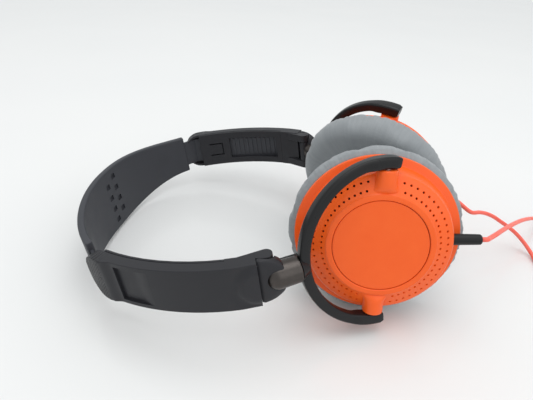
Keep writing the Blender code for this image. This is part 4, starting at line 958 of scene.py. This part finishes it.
def make_yoke(side):
    """C-shaped yoke with thicker pivot ends, a collar at the tube and a clip over it."""
    bm = bmesh.new()
    first, last = math.pi / 2 - YOKE_PAST, 1.5 * math.pi + YOKE_PAST
    steps = 72
    rings = []
    for i in range(steps + 1):
        angle = first + (last - first) * i / steps
        centre = Vector((YOKE_BACK * math.cos(angle), YOKE_RADIUS * math.sin(angle), 0))
        out = Vector((YOKE_RADIUS * math.cos(angle), YOKE_BACK * math.sin(angle), 0)).normalized()
        past = min(abs(angle - math.pi / 2), abs(angle - 1.5 * math.pi))
        thick = 0.6 * MM * (1 - smooth_share(math.radians(10), math.radians(19), past))
        back = 0.25 * MM * (1 - smooth_share(0.2, 0.9, abs(angle - math.pi)))
        shrink = 0.45 * MM if i in (0, steps) else 0
        place = Matrix.Translation(centre + out * (back - thick / 2)) @ along_axes(out, UP, out.cross(UP))
        rings.append(ring_of(bm, place, YOKE_WIDE / 2 + thick / 2 - shrink,
                             YOKE_DEEP / 2 + thick - shrink, 4.6, 28))
    loft(bm, rings)
    bmesh.ops.transform(bm, matrix=TURN[side], verts=bm.verts)
    tube_end = -(ARM_TO_CUP - TUBE_START - 0.3 * MM - TUBE_LENGTH)
    extra = bmesh.new()
    bar(extra, (tube_end + 0.35 * MM, 0, 0), (-YOKE_BACK + 1.6 * MM, 0, 0), COLLAR_RADIUS, 48,
        YOKE_DEEP / 2 + 0.4 * MM)
    bar(extra, (tube_end - TUBE_LENGTH + 2 * MM, 0, 0), (-YOKE_BACK, 0, 0), STEM_RADIUS, 32)
    under = -TUBE_RADIUS - 0.35 * MM
    brick(extra, (tube_end - CLIP.x, -CLIP.y / 2, under - CLIP.z), (-YOKE_BACK + 1.0 * MM, CLIP.y / 2, under))
    brick(extra, (tube_end + 0.75 * MM, -CLIP.y / 2 + 0.3 * MM, under - CLIP.z / 2),
          (-YOKE_BACK + 1.0 * MM, CLIP.y / 2 - 0.3 * MM, 0))
    soften(extra, 0.4 * MM, 3)
    take_in(bm, extra)
    piece(f"yoke_bow_{side}", bm, YOKE[side], YOKE_NYLON, f"{side}_yoke", [f"yoke_{side}"])


# ---------------------------------------------------------------- cup

def make_shell(side):
    """Cup shell: seat of the cap, smooth lip, vented cone, wall and flange, with two pivot bosses."""
    steps = 2 * VENTS
    run, drop = CONE_RADIUS - LIP_RADIUS, (LIP_TOP - 0.6 * MM) - CONE_FOOT

    def cone(share):
        return LIP_RADIUS + run * share, LIP_TOP - 0.6 * MM - drop * share

    rows = (0.06, 0.24, 0.42, 0.54, 0.72, 0.9)
    profile = [(0, CAP_SEAT), *near(CAP_RADIUS, CAP_SEAT, (0.22, 0)),
               *near(CAP_RADIUS, LIP_TOP, (0.22, -0.25), (0.5, 0)),
               *near(LIP_RADIUS, LIP_TOP, (-0.9, 0), (-0.35, -0.16)),
               cone(0), *[cone(s) for s in rows], cone(1),
               *near(CONE_RADIUS, CONE_FOOT, (0.5, -0.4), (0.9, -1.1)),
               *near(WALL_RADIUS, FLANGE_TOP, (0, 0.9), (0.25, 0.25), (0.8, 0)),
               *near(FLANGE_RADIUS, FLANGE_TOP, (-0.7, -0.25), (-0.15, -0.55), (0, -1.1)),
               *near(FLANGE_RADIUS, FLANGE_FOOT, (0, 0.3), (-0.3, 0), (-1.7, 0), (-1.7, 0.8)),
               *near(WALL_RADIUS, FLANGE_FOOT, (-1.6, 1.8)), *near(CONE_RADIUS, CONE_FOOT, (-0.7, -1.6)),
               *near(LIP_RADIUS, LIP_TOP, (-0.4, -2.2)), *near(LIP_RADIUS, CAP_SEAT, (-1.1, -1.6)),
               (0, CAP_SEAT - 1.6 * MM)]
    bm = outline_spin(profile, steps)
    step = 2 * math.pi / steps
    hubs = []
    for row, (share, shift) in enumerate(((0.24, 0), (0.72, 1))):
        radius, height = cone(share)
        for vert in bm.verts:
            if abs(vert.co.z - height) < 1e-5 and abs(vert.co.xy.length - radius) < 1e-5:
                index = round(math.atan2(vert.co.y, vert.co.x) / step)
                clear = abs(vert.co.x) > BOSS_RADIUS + (0.9 if row else 2.5) * MM
                if index % 2 == shift and clear:
                    hubs.append(vert)
    bmesh.ops.dissolve_verts(bm, verts=hubs)
    cells = [f for f in bm.faces if len(f.verts) == 8]
    bmesh.ops.inset_individual(bm, faces=cells, thickness=0.35 * MM, use_even_offset=True)
    for cell in cells:
        middle = cell.calc_center_median()
        normal = cell.normal.copy()
        for vert in cell.verts:
            spoke = vert.co - middle
            spoke -= normal * spoke.dot(normal)
            vert.co = middle + spoke.normalized() * VENT_RADIUS
    bmesh.ops.inset_individual(bm, faces=cells, thickness=0.06 * MM, depth=-0.1 * MM)
    # The hole bottoms take the second material, the painted shade of the vents.
    for face in bmesh.ops.extrude_discrete_faces(bm, faces=cells)["faces"]:
        bmesh.ops.translate(bm, vec=face.normal * -0.9 * MM, verts=face.verts)
        face.material_index = 1
    for sign in (-1, 1):
        boss = bmesh.new()
        turn = along_axes((1, 0, 0), (0, 0, -sign), (0, sign, 0))
        loft(boss, [ring_of(boss, Matrix.Translation((0, sign * r * MM, 0)) @ turn, a * MM, b * MM, 2.0, 48)
                    for r, a, b in BOSS_RINGS])
        take_in(bm, boss)
    obj = piece(f"cup_housing_{side}", bm, CUP[side], ORANGE_ABS, f"{side}_cup",
                [f"cup_shell_{side}"])
    obj.data.materials.append(VENT_SHADE)
    low = CAP_SEAT + 0.3 * MM
    top = low + CAP_THICK
    bm = outline_spin([*near(0, top, (0, 0), (6, 0), (12, 0)),
                       *near(CAP_RADIUS, top, (-0.5, 0), (-0.12, -0.12), (0, -0.5)),
                       (CAP_RADIUS, low), (0, low)], 120)
    piece(f"cap_plate_{side}", bm, CUP[side], ORANGE_ABS, f"{side}_cup", [f"cap_disc_{side}"])


def make_relief(side):
    """Moulded rubber strain relief: a smooth sleeve with a rounded end and a short neck."""
    turn = Matrix.Rotation(SIDE_SIGN[side] * RELIEF_ANGLE[side], 4, "Z")
    place = (CUP[side] @ turn @ Matrix.Translation((RELIEF_START, 0, RELIEF_DEPTH))
             @ Matrix.Rotation(math.pi / 2, 4, "Y"))
    length = RELIEF_END - RELIEF_START
    r = RELIEF_RADIUS
    bm = outline_spin([(0, 0), (r, 0), (r, length * 0.3), (r - 0.05 * MM, length * 0.5),
                       (r - 0.12 * MM, length * 0.8), *near(r, length, (-0.2, -0.5), (-0.6, 0)),
                       *near(CABLE_RADIUS, length, (0.15, 0), (0.15, -0.2)), (0, length - 0.2 * MM)], 48)
    piece(f"relief_sleeve_{side}", bm, place, RELIEF_RUBBER, f"{side}_cup", [f"strain_relief_{side}"])


def make_speaker_cloth(side):
    """Stretched mesh disc over the driver, seen through the cushion's hole."""
    bm = bmesh.new()
    bmesh.ops.create_grid(bm, x_segments=24, y_segments=24, size=CLOTH_RADIUS)
    layer = bm.loops.layers.uv.new("weave")
    low = FLANGE_FOOT + 0.8 * MM - 0.3 * MM - 1.8 * MM - 0.3 * MM
    for face in bm.faces:
        for loop in face.loops:
            loop[layer].uv = loop.vert.co.xy
    for vert in bm.verts:
        x, y = vert.co.x / CLOTH_RADIUS, vert.co.y / CLOTH_RADIUS
        vert.co.x = CLOTH_RADIUS * x * math.sqrt(1 - y * y / 2)
        vert.co.y = CLOTH_RADIUS * y * math.sqrt(1 - x * x / 2)
        vert.co.z = low
    bmesh.ops.solidify(bm, geom=bm.faces[:], thickness=0.6 * MM)
    lowest = min(v.co.z for v in bm.verts)
    bmesh.ops.translate(bm, vec=(0, 0, low - 0.6 * MM - lowest), verts=bm.verts)
    piece(f"driver_cloth_{side}", bm, CUP[side], MESH_CLOTH, f"{side}_cup", [f"speaker_cloth_{side}"])


def inflate(obj, hold):
    """Fills a pad's cover with a little pressure so that it settles into uneven foam-like curves."""
    group = obj.vertex_groups.new(name="sewn")
    for vert in obj.data.vertices:
        group.add([vert.index], hold(vert.co), "REPLACE")
    step = obj.modifiers.new("cover", "CLOTH")
    for key, value in {"quality": 8, "mass": 0.15, "use_pressure": True, "uniform_pressure_force": 3.0,
                       "shrink_min": -0.03, "tension_stiffness": 12, "compression_stiffness": 12,
                       "bending_stiffness": 0.4, "vertex_group_mass": "sewn", "pin_stiffness": 1.0}.items():
        setattr(step.settings, key, value)
    step.settings.effector_weights.gravity = 0.0
    step.collision_settings.use_self_collision = False
    step.point_cache.frame_start, step.point_cache.frame_end = 1, 20
    for number in range(1, 21):
        SCENE.frame_set(number)
    graph = bpy.context.evaluated_depsgraph_get()
    moved = [v.co.copy() for v in obj.evaluated_get(graph).data.vertices]
    obj.modifiers.remove(step)
    obj.vertex_groups.clear()
    SCENE.frame_set(1)
    return moved


def make_cushion(side):
    """Foam ring in leatherette: crowned, drawn in under the flange, with creases that run to its skirt."""
    top = FLANGE_FOOT - 0.3 * MM
    face = FLANGE_FOOT - CUSHION_DEEP
    r, hole = CUSHION_RADIUS, CUSHION_HOLE
    crest = (r + hole) / 2
    under = FLANGE_FOOT + (0.8 - 0.3 - 1.8 - 1.6 - 1.2 - 0.3) * MM
    skirt = FLANGE_RADIUS - 1.6 * MM
    profile = [*near(FLANGE_RADIUS, top, (-0.5, 0), (1.2, -0.5)),
               *near(r, top, (-0.9, -1.9), (-0.35, -4.2), (-0.9, -7.2), (-2.6, -10.1)),
               *near(r, face, (-5.8, 1.5), (-9.4, 0.5)), *near(crest, face, (0, 0.3), (-4, 0.5)),
               *near(hole, face, (4.5, 1.9), (1.8, 4.1), (0.4, 6.6)),
               *near(hole, under, (0.6, -0.9), (1.5, 0)), (skirt, under), (skirt, top)]
    bm = outline_spin(profile, 128, closed=True)
    obj = piece(f"ear_pad_{side}", bm, Matrix(), LEATHER, None, sharp=180, even=False)
    fine = obj.modifiers.new("fine", "SUBSURF")
    fine.levels = fine.render_levels = 1
    settle(obj)
    start = [v.co.copy() for v in obj.data.vertices]
    coarse = obj.copy()
    coarse.data = obj.data.copy()
    SCENE.collection.objects.link(coarse)
    step = coarse.modifiers.new("skin", "REMESH")
    step.mode = "VOXEL"
    step.voxel_size = 1.9 * MM
    settle(coarse)
    rest = [v.co.copy() for v in coarse.data.vertices]
    moved = inflate(coarse, lambda co: float(co.z > top - 1.2 * MM or co.xy.length < hole + 1.2 * MM))
    for vert, was, now in zip(coarse.data.vertices, rest, moved):
        shift = now - was
        if shift.length > 0.8 * MM:
            shift *= 0.8 * MM / shift.length
        vert.co = was + shift
    close = obj.modifiers.new("close", "SHRINKWRAP")
    close.target = coarse
    close.wrap_method = "NEAREST_SURFACEPOINT"
    settle(obj)
    bpy.data.objects.remove(coarse)
    for vert, was in zip(obj.data.vertices, start):
        if (vert.co - was).length > 1.2 * MM or was.z > top - 0.3 * MM:
            vert.co = was
    for vert in obj.data.vertices:
        radial = Vector((vert.co.x, vert.co.y, 0)).normalized()
        depth = (top - vert.co.z) / (top - face)
        pull = math.exp(-((depth - 0.16) / 0.16) ** 2) * (1 if vert.co.xy.length > crest else 0)
        pull += 0.8 * math.exp(-((depth - 0.6) / 0.25) ** 2) * (1 if vert.co.xy.length < crest - 6 * MM else 0)
        wave = noise.noise(Vector((radial.x * 16, radial.y * 16, depth * 1.2 + SIDE_SIGN[side] * 7)))
        wave += 0.5 * noise.noise(Vector((radial.x * 34, radial.y * 34, depth * 2.0 + 3)))
        vert.co += radial * (wave * 0.5 * MM * pull) - radial * (abs(wave) * 0.35 * MM * pull)
        limit = r / vert.co.xy.length
        if limit < 1:
            vert.co.xy *= limit
        vert.co.z = max(vert.co.z, face)
    around = obj.data.attributes.new("round_ring", "FLOAT_VECTOR", "POINT")
    for i, vert in enumerate(obj.data.vertices):
        radial = Vector((vert.co.x, vert.co.y, 0)).normalized()
        around.data[i].vector = (radial.x * 26, radial.y * 26, vert.co.z / (16 * MM))
    obj.data.transform(CUP[side])
    for vert in obj.data.vertices:
        vert.co.z = max(vert.co.z, 0.05 * MM)
    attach(obj, f"{side}_cup")
    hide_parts(f"ear_cushion_{side}")


# ---------------------------------------------------------------- pieces kept from the solids

KEPT = {"slider_strip": BAND_NYLON, "arm_cover": ARM_ABS, "diaphragm": FILM,
        **dict.fromkeys(("hinge_pin", "pivot_pin", "cup_screw", "driver_magnet"), STEEL),
        **dict.fromkeys(("baffle", "driver_basket", "cushion_ring"), INNER_ABS)}


def dress_kept():
    for name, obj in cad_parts.items():
        for start, look in KEPT.items():
            if name.startswith(start):
                obj.data.materials.clear()
                obj.data.materials.append(look)


set_camera()
make_cords()
set_table()
set_light()
make_bridge()
for side in SIDE_SIGN:
    make_arm(side)
    make_knuckle(side)
    make_yoke(side)
    make_shell(side)
    make_relief(side)
    make_speaker_cloth(side)
    make_cushion(side)
dress_kept()
